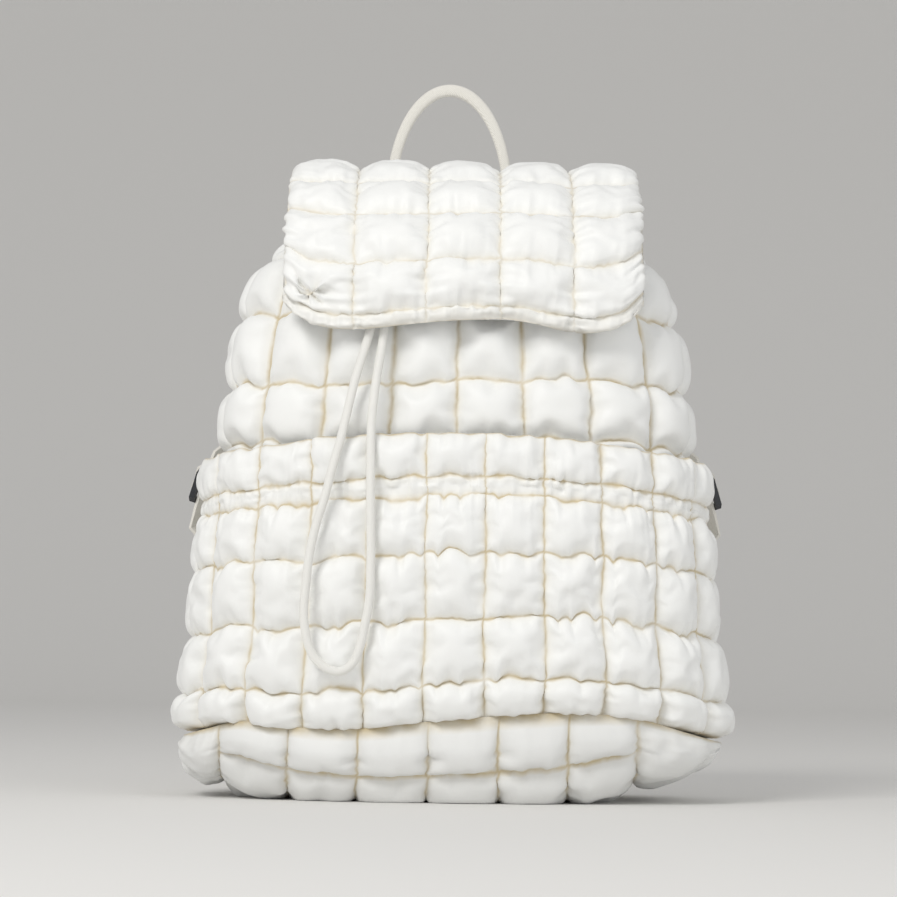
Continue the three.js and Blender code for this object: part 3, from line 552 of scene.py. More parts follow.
class Quilt:
    """The outer surface of one padded piece. surface(u, v) gives its seam surface, columns and
    rows the shares at which its seams run, and puff how far each row of cells stands out.
    hidden says where it stays flat behind another piece, and row_at gives the row coordinate
    whose whole numbers are seams that are really sewn."""

    def __init__(self, name, surface, columns, rows, puff, closed, per_cell, seed, **wants):
        self.name, self.surface, self.closed, self.seed = name, surface, closed, seed
        self.columns, self.rows = np.asarray(columns, float), np.asarray(rows, float)
        self.puff = np.asarray(puff, float)
        self.wants = {**QUILT_WANTS, **wants}
        self.hidden, self.row_at = self.wants["hidden"], self.wants["merged"]
        across, along = per_cell
        self.cu = cell_lines(len(columns) - 1, across)
        if closed:
            self.cu = self.cu[:-1]
        self.rv = cell_lines(len(rows) - 1, along)
        self.c, self.r = np.meshgrid(self.cu, self.rv)
        seams = self.place(*self.seam_paths(self.c, self.r))
        self.points = seams + grid_normals(seams, closed) * self.pillow()[..., None]

    def seam_paths(self, cu, rv):
        """Cell coordinates moved a little, so that seams scallop and wander as sewn ones do."""
        scallop, wander = self.wants["scallop"], self.wants["wander"]

        def cusped(r):
            n = noise_plane(cu * SCALLOP["lumps"], apart(r, SCALLOP["apart"]), self.seed)
            return scallop * (SCALLOP["height"] * np.abs(n) ** SCALLOP["power"] - SCALLOP["level"])

        low = np.floor(rv)
        moved_r = lerp(cusped(low), cusped(low + 1), smooth(rv - low))
        side = np.floor(cu)
        n_cols = len(self.columns) - 1

        def wandering(c):
            c = c % n_cols if self.closed else c
            fixed = (c == 0) | (c == n_cols) if not self.closed else False
            at = apart(c, WANDER["apart"])
            n = noise_plane(at, rv * WANDER["lumps"], self.seed + 1)
            cusps = np.abs(noise_plane(at, rv * WANDER["cusp_lumps"], self.seed + 5))
            cusps = cusps ** WANDER["power"] - WANDER_LEVEL
            return np.where(fixed, 0, wander * (n + WANDER["cusp_share"] * cusps * np.sign(n)))

        moved_c = lerp(wandering(side), wandering(side + 1), smooth(cu - side))
        edge = np.minimum(rv, len(self.rows) - 1 - rv)
        return cu + moved_c, rv + moved_r * smooth(edge * SCALLOP_FADE)

    def place(self, cu, rv):
        """Seam-surface points at cell coordinates."""
        if self.closed:
            cu = np.mod(cu, len(self.columns) - 1)
        u = np.interp(cu, np.arange(len(self.columns)), self.columns)
        v = np.interp(rv, np.arange(len(self.rows)), self.rows)
        return self.surface(u, v)

    def pillow(self):
        row = np.minimum(np.floor(self.r).astype(int), len(self.puff) - 1)
        height = self.puff[row]
        to_row = seam_gap(self.row_at(self.c, self.r))
        height = height * (swollen(seam_gap(self.c)) * swollen(to_row))
        if "column_puff" in self.wants:
            column = np.minimum(np.floor(self.c).astype(int), len(self.columns) - 2)
            height = height * np.asarray(self.wants["column_puff"])[column]
        height = height * self.wants["rise"](self.c, self.r)
        return np.where(self.hidden(self.c, self.r), HIDDEN_PUFF, height)


# How the cloth behaves while its cells fill: settings of the cloth, and its own longer length
CLOTH = {
    "quality": 5,
    "mass": 0.15,
    "tension_stiffness": 15,
    "compression_stiffness": 15,
    "shear_stiffness": 3,
    "bending_stiffness": 1.0,
    "tension_damping": 10,
    "compression_damping": 10,
    "bending_damping": 0.5,
    "air_damping": 4,
    "use_pressure": True,
    "uniform_pressure_force": 5,
    "shrink_min": -0.07,
    "vertex_group_mass": "sewn",
}
CLOTH_FRAMES = 14
CALM_ROUNDS = 2


def add_cloth(quilt):
    """A cloth sheet of the quilt's surface, sewn down along its seams."""
    points = quilt.points
    ny, nx = points.shape[:2]
    faces = grid_faces(numbered(ny, nx, quilt.closed))
    sheet = mesh_object("cloth_" + quilt.name, points.reshape(-1, 3), faces, None)
    to_row = seam_gap(quilt.row_at(quilt.c, quilt.r))
    on_seam = (seam_gap(quilt.c) < ON_SEAM) | (to_row < ON_SEAM)
    on_seam[0] = on_seam[-1] = True
    if not quilt.closed:
        on_seam[:, 0] = on_seam[:, -1] = True
    on_seam |= quilt.hidden(quilt.c, quilt.r)
    quilt.sewn = on_seam
    group = sheet.vertex_groups.new(name="sewn")
    group.add(np.flatnonzero(on_seam.ravel()).tolist(), 1.0, "REPLACE")
    cloth = sheet.modifiers.new("cloth", "CLOTH")
    for key, value in CLOTH.items():
        setattr(cloth.settings, key, value)
    cloth.settings.effector_weights.gravity = 0
    cloth.collision_settings.use_collision = False
    return sheet


def calmed(step, closed):
    """A grid of steps, each moved halfway to the mean of its four neighbours."""
    if closed:
        sideways = np.roll(step, 1, 1) + np.roll(step, -1, 1)
    else:
        padded = np.pad(step, ((0, 0), (1, 1), (0, 0)), "edge")
        sideways = padded[:, :-2] + padded[:, 2:]
    padded = np.pad(step, ((1, 1), (0, 0), (0, 0)), "edge")
    return 0.5 * step + 0.125 * (sideways + padded[:-2] + padded[2:])


def simulate(quilts):
    """Fills the quilts' cells with air, all at once, and keeps the result in their points."""
    sheets = [add_cloth(q) for q in quilts]
    scene = bpy.context.scene
    scene.frame_start = 1
    scene.frame_end = CLOTH_FRAMES
    for n in range(1, CLOTH_FRAMES + 1):
        scene.frame_set(n)
    graph = bpy.context.evaluated_depsgraph_get()
    for quilt, sheet in zip(quilts, sheets):
        mesh = sheet.evaluated_get(graph).data
        co = np.empty(len(mesh.vertices) * 3, np.float32)
        mesh.vertices.foreach_get("co", co)
        step = co.reshape(quilt.points.shape).astype(float) - quilt.points
        for _ in range(CALM_ROUNDS):
            step = calmed(step, quilt.closed) * (~quilt.sewn)[..., None]
        cap = quilt.wants["cap"]
        size = np.linalg.norm(step, axis=-1, keepdims=True)
        limited = cap * np.tanh(size / cap)
        quilt.points = quilt.points + step * (limited / np.maximum(size, SMALL))
        bpy.data.objects.remove(sheet)
    scene.frame_set(1)


# Gathers run out from the seams, and a fine zigzag follows the thread. Colour masks mark the
# sewn lines, which get painted ochre crease shade, and the cloth near them, which gets painted
# warm shade. Widths are in metres.
GATHER = {"bend": 0.15, "row_share": 1.3, "apart": 13.0, "clear": 0.0018}
ZIGZAG = {"lumps": 1.9, "apart": 17.0, "width": 0.003, "edge_fade": 3}
SEAM_MARK = {"row": 0.0011, "column": 0.001, "column_share": 0.9}
NEAR_MARK = {"row": 0.004, "column": 0.0035}


def dress(quilt):
    """Refines the quilt's grid and adds gathers beside its seams. Gives points and masks."""
    want = quilt.wants
    p = finer(quilt.points, quilt.closed)
    ny, nx = p.shape[:2]
    if quilt.closed:
        cu = np.arange(nx) * (quilt.cu[1] - quilt.cu[0]) / 2
    else:
        cu = np.interp(np.arange(nx) / 2, np.arange(len(quilt.cu)), quilt.cu)
    rv = np.interp(np.arange(ny) / 2, np.arange(len(quilt.rv)), quilt.rv)
    c, r = np.meshgrid(cu, rv)
    along = np.linalg.norm(np.gradient(p, axis=1), axis=-1)
    up = np.linalg.norm(np.gradient(p, axis=0), axis=-1)
    cell_w = along / np.maximum(np.gradient(c, axis=1), SMALL)
    cell_h = up / np.maximum(np.gradient(r, axis=0), SMALL)
    to_column = seam_gap(c) * np.median(cell_w, axis=0)[None, :]
    to_row = seam_gap(quilt.row_at(c, r)) * np.median(cell_h, axis=1)[:, None]
    normals = grid_normals(p, quilt.closed)
    shown = ~quilt.hidden(c, r)

    s_row = c * np.median(cell_w) / want["pitch"]
    s_col = r * np.median(cell_h) / want["pitch"]
    turn_r = np.round(r)
    turn_c = np.round(c)
    bent_row = s_row + GATHER["bend"] * noise_plane(c * 3, r * 4, 11)
    bent_col = s_col + GATHER["bend"] * noise_plane(c * 4, r * 3, 12)
    wave_r = noise_plane(bent_row, apart(turn_r, GATHER["apart"]), quilt.seed + 2)
    wave_c = noise_plane(bent_col, apart(turn_c, GATHER["apart"]), quilt.seed + 3)
    fade = lambda d: bell(d, want["reach"]) * smooth(d / GATHER["clear"])

    zigzag = want["zigzag"]
    sideways = unit(np.gradient(p, axis=1))
    upward = unit(np.gradient(p, axis=0))
    lumps = ZIGZAG["lumps"]
    zig_c = zigzag * noise_plane(s_col * lumps, apart(turn_c, ZIGZAG["apart"]), quilt.seed + 6)
    zig_r = zigzag * noise_plane(s_row * lumps, apart(turn_r, ZIGZAG["apart"]), quilt.seed + 7)
    free = shown * smooth(np.minimum(r, r.max() - r) * ZIGZAG["edge_fade"])
    if not quilt.closed:
        free = free * smooth(np.minimum(c, c.max() - c) * ZIGZAG["edge_fade"])
    p = p + sideways * (zig_c * bell(to_column, ZIGZAG["width"]) * free)[..., None]
    p = p + upward * (zig_r * bell(to_row, ZIGZAG["width"]) * free)[..., None]

    by_row = GATHER["row_share"] * wave_r * fade(to_row)
    by_column = want["column_gather"] * wave_c * fade(to_column)
    height = want["gather"] * (by_row + by_column) + want["extra"](c, r, s_row, s_col)
    p = p + normals * (height * shown)[..., None]

    # The seam mask places painted ochre crease shade along the sewn lines, and the near mask
    # painted warm shade beside them
    column_mark = SEAM_MARK["column_share"] * bell(to_column, SEAM_MARK["column"])
    seam = np.maximum(bell(to_row, SEAM_MARK["row"]), column_mark) * want["crease_shade_strength"]
    near = np.maximum(bell(to_row, NEAR_MARK["row"]), bell(to_column, NEAR_MARK["column"]))
    # A piece may add painted ochre crease shade of its own, such as in the flap's pinch and
    # binding
    seam = np.maximum(seam, want["crease_shade"](c, r))
    return p, {"seam": seam * shown, "near": near * shown}


# Materials
def new_material(name):
    material = bpy.data.materials.new(name)
    material.use_nodes = True
    nodes = material.node_tree.nodes
    return material, nodes, material.node_tree.links, nodes["Principled BSDF"]


# A mix node's colour sockets share their names with its other ones, so they go by number.
MIX_A, MIX_B, MIX_RESULT = 6, 7, 2


def mixed(nodes, links, factor, a, b):
    mix = nodes.new("ShaderNodeMix")
    mix.data_type = "RGBA"
    links.new(factor, mix.inputs["Factor"])
    for socket, value in ((mix.inputs[MIX_A], a), (mix.inputs[MIX_B], b)):
        if hasattr(value, "is_output"):
            links.new(value, socket)
        else:
            socket.default_value = (*value, 1)
    return mix.outputs[MIX_RESULT]


def product(nodes, links, a, b):
    made = nodes.new("ShaderNodeMath")
    made.operation = "MULTIPLY"
    links.new(a, made.inputs[0])
    if hasattr(b, "is_output"):
        links.new(b, made.inputs[1])
    else:
        made.inputs[1].default_value = b
    return made.outputs[0]


def node_with(nodes, kind, values):
    made = nodes.new("ShaderNode" + kind)
    for key, value in values.items():
        made.inputs[key].default_value = value
    return made


def texture(nodes, links, kind, values):
    """A texture laid out in the piece's own space."""
    made = node_with(nodes, kind, values)
    where = nodes.new("ShaderNodeTexCoord")
    links.new(where.outputs["Object"], made.inputs["Vector"])
    return made


def relief(nodes, links, shader, height, strength, distance):
    bump = node_with(nodes, "Bump", {"Strength": strength, "Distance": distance})
    links.new(height.outputs["Fac"], bump.inputs["Height"])
    links.new(bump.outputs["Normal"], shader.inputs["Normal"])


def mask(nodes, name):
    made = nodes.new("ShaderNodeAttribute")
    made.attribute_name = name
    return made.outputs["Fac"]


CREAM = (0.925, 0.928, 0.912)
# Painted crease shade: the ochre put into the seams' creases
CREASE_SHADE_OCHRE = (0.62, 0.51, 0.31)
# Painted warm shade: the colour of the cloth beside the seams
WARM_SHADE_NEAR_SEAM = (0.90, 0.88, 0.81)
# The base cloth's colours are scaled by this: painted shade, as the base faces down, away from the
# light
BASE_SHADE_FACTOR = 0.9
# How strongly the painted warm shade beside the seams shows
NEAR_SHADE_STRENGTH = 0.5
# How the noise makes the painted ochre crease shade patchy
PATCHES = {"From Min": 0.3, "From Max": 0.6, "To Min": 0.35, "To Max": 1.0}
WEAVE_SHADE = 0.9
BLACK = (0.012, 0.013, 0.016)
WORN_BLACK = (0.03, 0.032, 0.038)


# All colours are scaled by the second argument; a copy scaled under 1 is the same cloth in painted
# shade
def puffer_material(name, shade_factor):
    material, nodes, links, shader = new_material(name)
    cloud = texture(nodes, links, "TexNoise", {"Scale": 60, "Detail": 3})
    patches = node_with(nodes, "MapRange", PATCHES)
    links.new(cloud.outputs["Fac"], patches.inputs["Value"])
    # Painted ochre crease shade along the seams, patchy by the noise
    patchy_crease_shade = product(nodes, links, mask(nodes, "seam"), patches.outputs["Result"])
    # Painted warm shade beside the seams
    near_shade = product(nodes, links, mask(nodes, "near"), NEAR_SHADE_STRENGTH)
    cream = [shade_factor * v for v in CREAM]
    shaded_near_seam = [shade_factor * v for v in WARM_SHADE_NEAR_SEAM]
    body = mixed(nodes, links, near_shade, cream, shaded_near_seam)
    colour = mixed(nodes, links, patchy_crease_shade, body, CREASE_SHADE_OCHRE)
    links.new(colour, shader.inputs["Base Color"])
    shader.inputs["Roughness"].default_value = 0.5
    shader.inputs["Sheen Weight"].default_value = 0.25
    shader.inputs["Sheen Roughness"].default_value = 0.4
    shader.inputs["Specular IOR Level"].default_value = 0.4
    crinkle = {"Scale": 220, "Detail": 4, "Distortion": 0.6}
    relief(nodes, links, shader, texture(nodes, links, "TexNoise", crinkle), 0.12, 0.0006)
    return material


def webbing_material(name, colour, scale):
    material, nodes, links, shader = new_material(name)
    weave = texture(nodes, links, "TexWave", {"Scale": scale, "Distortion": 1.5})
    weave.bands_direction = "DIAGONAL"
    shade = [WEAVE_SHADE * v for v in colour]
    tint = mixed(nodes, links, weave.outputs["Fac"], shade, colour)
    links.new(tint, shader.inputs["Base Color"])
    shader.inputs["Roughness"].default_value = 0.75
    shader.inputs["Sheen Weight"].default_value = 0.2
    relief(nodes, links, shader, weave, 0.52, 0.0004)
    return material


def plastic_material():
    material, nodes, links, shader = new_material("black_moulded_plastic")
    grain = texture(nodes, links, "TexNoise", {"Scale": 900})
    tint = mixed(nodes, links, grain.outputs["Fac"], BLACK, WORN_BLACK)
    links.new(tint, shader.inputs["Base Color"])
    shader.inputs["Roughness"].default_value = 0.38
    relief(nodes, links, shader, grain, 0.15, 0.0002)
    return material


PUFFER = puffer_material("puffer_nylon", 1.0)
# The base: the same cloth, darkened all over as painted shade
SHADED_BASE_PUFFER = puffer_material("base_nylon_painted_shade", BASE_SHADE_FACTOR)
WEBBING = webbing_material("cream_webbing", (0.89, 0.865, 0.8), 500)
CORD = webbing_material("cream_cord", (0.99, 0.98, 0.935), 700)
PLASTIC = plastic_material()


def finish_piece(piece, nodes):
    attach(piece, "root")
    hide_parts(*nodes)


# Drawcord
CORD_STEPS = 8


def make_cord():
    line = catmull_rom(CORD_ROUTE, CORD_STEPS)
    data = bpy.data.curves.new("drawcord_loop", "CURVE")
    data.dimensions = "3D"
    spline = data.splines.new("POLY")
    spline.points.add(len(line) - 1)
    spline.points.foreach_set("co", np.column_stack([line, np.ones(len(line))]).ravel())
    data.bevel_depth = CORD_DIAMETER / 2
    data.bevel_resolution = 6
    data.use_fill_caps = True
    data.materials.append(CORD)
    cord = bpy.data.objects.new("drawcord_loop", data)
    bpy.context.scene.collection.objects.link(cord)
    finish_piece(cord, ["drawcord"])


make_cord()

# Quilted pieces
body_seam_table = body_table()
pocket_seam_table = pocket_table(1.0, body_seam_table)
pocket_inner_table = pocket_table(0.0, body_seam_table)
POCKET_TOP_SHARE = (POCKET_SIDE_TOP - RIM_HEIGHT) / BODY_HEIGHT


def girth_and_height(c, r):
    """Where the body's cells lie: their share of the girth from its front, and height."""
    share = np.abs(c / BODY_COLUMNS - 0.5)
    height = np.interp(r, np.arange(len(BODY_LEVELS["height"])), BODY_LEVELS["height"])
    return share, height


def body_hidden(c, r):
    """Whether the body lies behind the pocket, where its cells stay flat."""
    share, height = girth_and_height(c, r)
    below = height < POCKET_TOP_SHARE - POCKET_EDGE_ROOM
    return (share < POCKET_SPAN + POCKET_SEAM_SHARE) & below


def body_rise(c, r):
    """How far the body's cells have risen beside the pocket's sewn edge, from 0 to 1."""
    share, height = girth_and_height(c, r)
    beside = smooth((share - POCKET_SPAN) / POCKET_SEAM_RISE)
    return np.where(height < POCKET_TOP_SHARE, beside, 1)


def make_body_quilt():
    columns = np.linspace(-0.5, 0.5, BODY_COLUMNS + 1)
    puff = QUILT_PUFF * np.array(BODY_LEVELS["puff"])
    steps = (10, BODY_LEVELS["steps"])
    return Quilt("body", body_seam_table.at, columns, BODY_LEVELS["height"], puff, True, steps,
                 101, hidden=body_hidden, rise=body_rise, cap=0.005, scallop=0.08,
                 gather=0.0009, pitch=0.0052)


ELASTIC_ROW = 4.5
ELASTIC_GATHER = 0.0012
ELASTIC_WIDTH = 0.75
ELASTIC_LUMPS = (2.2, 0.6)
RUFFLE_GATHER = 0.0016
RUFFLE_LUMPS = (0.8, 0.35)
RUFFLE_BEND = 0.4


def elastic_gathers(c, r, s, _):
    """Fine gathers across the pocket's elastic, and wider ones up its ruffle to the top edge."""
    band = bell(r - ELASTIC_ROW, ELASTIC_WIDTH)
    top = smooth(r - (len(POCKET_LEVELS["height"]) - 2))
    fine = noise_plane(s * ELASTIC_LUMPS[0], r * ELASTIC_LUMPS[1], 21)
    bent = s * RUFFLE_LUMPS[0] + RUFFLE_BEND * noise_plane(c * 2, r, 23)
    wide = noise_plane(bent, r * RUFFLE_LUMPS[1], 22)
    return ELASTIC_GATHER * band * fine + RUFFLE_GATHER * top * wide


def make_pocket_quilt():
    columns = np.linspace(-1, 1, POCKET_COLUMNS + 1)
    puff = QUILT_PUFF * np.array(POCKET_LEVELS["puff"])
    steps = (18, POCKET_LEVELS["steps"])
    return Quilt("pocket", pocket_seam_table.at, columns, POCKET_LEVELS["height"], puff, False,
                 steps, 202, cap=0.005, scallop=0.08, gather=0.001, pitch=0.0052,
                 extra=elastic_gathers)


FLAP_SPAN_STEPS = 40
FLAP_STEPS = 600


def flap_line():
    """Even points along the flap's middle line, with a straight lead, and its length."""
    middle = np.column_stack([
        np.zeros(len(FLAP_LINE["depth"])),
        np.array(FLAP_LINE["depth"]) * BODY_DEPTH,
        MOUTH_HEIGHT + FLAP_RISE - np.array(FLAP_LINE["drop"]) * FLAP_DROP,
    ])
    line = catmull_rom(middle, FLAP_SPAN_STEPS)
    lead = line[0] + FLAP_LEAD * unit(line[0] - line[1])
    curve, length = even_along(np.vstack([lead, line]), FLAP_STEPS)
    return curve, length - FLAP_LEAD


FLAP_CURVE, FLAP_LENGTH = flap_line()


def flap_points(u, v, out):
    """Points of the flap: u runs across it, v from its front edge to its root."""
    corner = FLAP_CORNER * np.abs(u) ** FLAP_CORNER_POWER
    hang = cubic_through(FLAP_HANG["across"], FLAP_HANG["drop"], u) / FLAP_LENGTH
    along = v + (1 - v) * corner - hang * (1 - v) ** 3
    at = (along * FLAP_LENGTH + FLAP_LEAD) / (FLAP_LENGTH + FLAP_LEAD) * (len(FLAP_CURVE) - 1)
    pick = lambda values: np.interp(at, np.arange(len(FLAP_CURVE)), values)
    y = pick(FLAP_CURVE[:, 1])
    z = pick(FLAP_CURVE[:, 2])
    slope = unit(np.gradient(FLAP_CURVE, axis=0))
    ty = pick(slope[:, 1])
    tz = pick(slope[:, 2])
    frontness = np.clip(-y / (BODY_DEPTH / 2), 0, 1)
    x = FLAP_SHIFT + u * FLAP_WIDTH / 2
    y = y + FLAP_WRAP * u * u * frontness
    return np.stack([x, y - tz * out, z + ty * out], -1)


FLAP_LENGTH_ABOUT = 0.26


def edge_round(u, v):
    """1 over the flap's middle, falling to 0 at its free edges, as a rounded edge does."""
    to_side = (1 - np.abs(u)) * FLAP_WIDTH / 2
    to_front = v * FLAP_LENGTH_ABOUT
    near = np.minimum(to_side, to_front)
    return np.sqrt(np.maximum(1 - (1 - np.minimum(near / FLAP_WALL, 1)) ** 2, 0))


BINDING_GATHER = 0.0012
BINDING_LUMPS = (1.5, 0.8)
RUCHED_LUMPS = (1.9, 0.5)
FRONT_REACH = 1.6
SIDE_REACH = 0.7
RUCHED_REACH = 1.2
EDGE_FADE = 0.4
PINCH_AT = (0.42, 1.36)
PINCH_SIZE = (0.26, 0.26)
PINCH_DEPTH = 0.007
PINCH_FOLDS = 6
FOLD_SHARE = 0.7
# Painted ochre crease shade in the pinch's bottom and along its folds, and on the binding: how
# strong and how wide
PINCH_SHADE = {"bottom": 0.7, "bottom_width": 0.3, "fold": 0.4, "fold_width": 0.8, "power": 4}
BINDING_SHADE = 0.12
BINDING_SHADE_REACH = 1.1


def around_pinch(c, r):
    """How far cells are from the pinch, for its size, and how its folds swing there."""
    da = (c - PINCH_AT[0]) / PINCH_SIZE[0]
    db = (r - PINCH_AT[1]) / PINCH_SIZE[1]
    return np.hypot(da, db), np.sin(PINCH_FOLDS * np.arctan2(db, da))


def flap_creases(c, r, s_row, s_col):
    """Fine gathers along the flap's edges, and the deep pinch in its left front corner."""
    last = c.max()
    across, along = BINDING_LUMPS
    sides = smooth(SIDE_REACH - c) + smooth(c - last + SIDE_REACH)
    gathers = smooth(FRONT_REACH - r) * noise_plane(s_row * across, r * along, 41)
    gathers = gathers + sides * noise_plane(s_col * across, c * along, 42)
    gathers = gathers * smooth(np.minimum(np.minimum(c, last - c), r) / EDGE_FADE)
    ruched = noise_plane(s_row * RUCHED_LUMPS[0], r * RUCHED_LUMPS[1], 43)
    ruched = smooth(RUCHED_REACH - r) * smooth(r * 3) * ruched
    away, folds = around_pinch(c, r)
    star = 1 + FOLD_SHARE * folds * smooth(away * 1.5)
    return BINDING_GATHER * (gathers + ruched) - PINCH_DEPTH * bell(away, 1) * star


def flap_crease_shade(c, r):
    """Painted ochre crease shade in the pinch's bottom, along its folds and on the binding."""
    away, folds = around_pinch(c, r)
    bottom = PINCH_SHADE["bottom"] * bell(away, PINCH_SHADE["bottom_width"])
    folds = np.maximum(folds, 0) ** PINCH_SHADE["power"]
    folds = PINCH_SHADE["fold"] * folds * bell(away, PINCH_SHADE["fold_width"])
    return np.maximum(bottom + folds, BINDING_SHADE * smooth(BINDING_SHADE_REACH - r))


FLAP_BINDING = 0.03
FLAP_STEPS_ACROSS = 20
FLAP_STEPS_ALONG = [4] + [14] * FLAP_ROWS
FLAP_ROW_PUFF = [0.4] + [1.2] * FLAP_ROWS


def make_flap_quilt():
    side = 1.5 * FLAP_COLUMN / (FLAP_WIDTH / 2)
    columns = [-1, -side, -side / 3, side / 3, side, 1]
    rows = [0, FLAP_BINDING] + [k / FLAP_ROWS for k in range(1, FLAP_ROWS + 1)]
    puff = FLAP_PUFF * np.array(FLAP_ROW_PUFF)
    surface = lambda u, v: flap_points(u, v, FLAP_WALL / 2 * edge_round(u, v))
    return Quilt("flap", surface, columns, rows, puff, False,
                 (FLAP_STEPS_ACROSS, FLAP_STEPS_ALONG), 303, cap=0.004, scallop=0.03,
                 wander=0.02, gather=0.0011, pitch=0.0046, zigzag=0.0011, reach=0.013,
                 column_gather=2.0, extra=flap_creases, crease_shade_strength=0.5, crease_shade=flap_crease_shade)


BASE_HALF_WIDTH = BODY_WIDTH / 2 + BASE_LEDGE
BASE_FRONT = BODY_LEVELS["front"][0] * BODY_DEPTH + BASE_LEDGE
BASE_BACK = BODY_LEVELS["back"][0] * BODY_DEPTH + BASE_BACK_LEDGE
BASE_CENTRE = (BASE_BACK - BASE_FRONT) / 2
BASE_HALF_DEPTH = (BASE_BACK + BASE_FRONT) / 2


def edge_rise(x, y, inset):
    """How high the base's underside has risen towards its rim, from 0 to 1. It is full at the
    front, the back and the left end, and rises early towards the right end."""
    half = BASE_HALF_WIDTH - inset
    across = np.minimum(np.abs(x) / half, 1) ** ROUNDNESS
    along = (np.abs(y - BASE_CENTRE) / (BASE_HALF_DEPTH - inset)) ** ROUNDNESS
    frontness = along / np.maximum(across + along, TINY)
    flat = lerp(BASE_END_FLAT - np.sign(x) * BASE_SAG / half, BASE_FLAT, frontness)
    steepness = np.where(x < 0, 1, frontness)
    radius = (across + along) ** (1 / ROUNDNESS)
    q = np.clip((radius - flat) / (1 - flat), 0, 1)
    return 1 - (1 - q**BASE_CURVE) ** (1 / (1 + steepness))


def base_points(x, row, inset=0.0, thickness=0.0):
    """Points of the base: row runs from 1 at its back to -1 at its front."""
    half = BASE_HALF_WIDTH - inset
    across = np.minimum(np.abs(x) / half, 1)
    half_here = (BASE_HALF_DEPTH - inset) * (1 - across**ROUNDNESS) ** (1 / ROUNDNESS)
    y = BASE_CENTRE + row * half_here
    z = thickness + (rim_at(x, y) - thickness) * edge_rise(x, y, inset)
    return np.stack([x, y, z], -1)


def base_rows_merged(c, r):
    """At the base's ends the two front rows run together, and the two back rows too."""
    at_end = (c < 1) | (c > BASE_COLUMNS + 1)
    last = len(BASE_ROWS["at"]) - 1
    front = np.where(at_end & (r > last - 2), (r + last - 2) / 2, r)
    return np.where(at_end & (r < 2), r / 2, front)


BASE_STEPS_ACROSS = 14
BASE_END_PUFF = (1.4, 1.7)


def make_base_quilt():
    half = BASE_COLUMNS / 2 * BASE_COLUMN
    end = BASE_HALF_WIDTH * BASE_END_SHARE
    inside = np.linspace(BASE_COLUMN_SHIFT - half, BASE_COLUMN_SHIFT + half, BASE_COLUMNS + 1)
    puff = np.full(len(BASE_ROWS["steps"]), BASE_PUFF)
    column_puff = [BASE_END_PUFF[0], *[1] * BASE_COLUMNS, BASE_END_PUFF[1]]
    return Quilt("base", base_points, [-end, *inside, end], BASE_ROWS["at"], puff, False,
                 (BASE_STEPS_ACROSS, BASE_ROWS["steps"]), 404, cap=0.004, scallop=0.02,
                 gather=0.0011, pitch=0.005, zigzag=0.0012, column_gather=2.0,
                 column_puff=column_puff, merged=base_rows_merged)


body_quilt = make_body_quilt()
pocket_quilt = make_pocket_quilt()
flap_quilt = make_flap_quilt()
base_quilt = make_base_quilt()
simulate([body_quilt, pocket_quilt, flap_quilt, base_quilt])


# How many of its outer grid's steps one step of a wall's inner grid takes in
COARSER = {"pocket": 6, "flap": 4, "base": 4}
BODY_INNER_SIZE = (90, 25)


def inner_shares(outer, per, first, last):
    """Shares from -1 to 1 across, and from first to last along, on a coarser grid."""
    ny, nx = outer.shape[:2]
    across = np.linspace(-1, 1, (nx - 1) // per + 1)
    return np.meshgrid(across, np.linspace(first, last, (ny - 1) // per + 1))


def make_sheet(quilt, inner, node, material=PUFFER, floor=None):
    """The quilt's piece: inner(outer) gives the grid of its inside."""
    outer, masks = dress(quilt)
    if floor is not None:
        outer[..., 2] = np.maximum(outer[..., 2], floor)
    name = "puffer_" + quilt.name
    piece = wall_object(name, outer, inner(outer), quilt.closed, material, masks)
    finish_piece(piece, [node])


def body_inside(_):
    u = np.linspace(-0.5, 0.5, BODY_INNER_SIZE[0] + 1)[:-1]
    return body_points(u, np.linspace(0, 1, BODY_INNER_SIZE[1]), -BODY_WALL)


def pocket_inside(outer):
    return pocket_inner_table.at(*inner_shares(outer, COARSER["pocket"], 0, 1))


def flap_inside(outer):
    u, v = inner_shares(outer, COARSER["flap"], 0, 1)
    return flap_points(u, v, -FLAP_WALL / 2 * edge_round(u, v))


def base_inside(outer):
    share, row = inner_shares(outer, COARSER["base"], 1, -1)
    x = share * (BASE_HALF_WIDTH - BASE_WALL) * BASE_END_SHARE
    return base_points(x, row, BASE_WALL, BASE_WALL)


# Long pieces: rings along a curve
CURVE_STEPS = 24


def frames_along(points, across_at, count):
    """Places, directions across and directions out along the centripetal curve through points."""
    place, _ = even_along(catmull_rom(points, CURVE_STEPS), count)
    along = unit(np.gradient(place, axis=0))
    across = across_at(np.linspace(0, 1, count + 1))
    across = unit(across - along * (across * along).sum(1, keepdims=True))
    return place, across, np.cross(along, across)


def turns(sides):
    return np.linspace(0, 2 * math.pi, sides + 1)[:-1]


def tube_object(name, rings, material, floats=None):
    """A closed tube through rings of points, with its faces turned outward."""
    count, sides = rings.shape[:2]
    faces = grid_faces(numbered(count, sides, True))
    first = list(range(sides))
    faces += [first[::-1], [(count - 1) * sides + k for k in first]]
    flat = {k: v.ravel() for k, v in (floats or {}).items()}
    made = mesh_object(name, rings.reshape(-1, 3), faces, material, flat)
    rings_next = np.roll(rings, -1, 1)
    volume = np.einsum("ijk,ijk->", rings[:-1], np.cross(rings_next[:-1], rings_next[1:]))
    if volume < 0:
        made.data.flip_normals()
    return made


HANDLE_POINTS = 25
HANDLE_STEPS = 180
HANDLE_SIDES = 32
HANDLE_SQUARE = 0.7


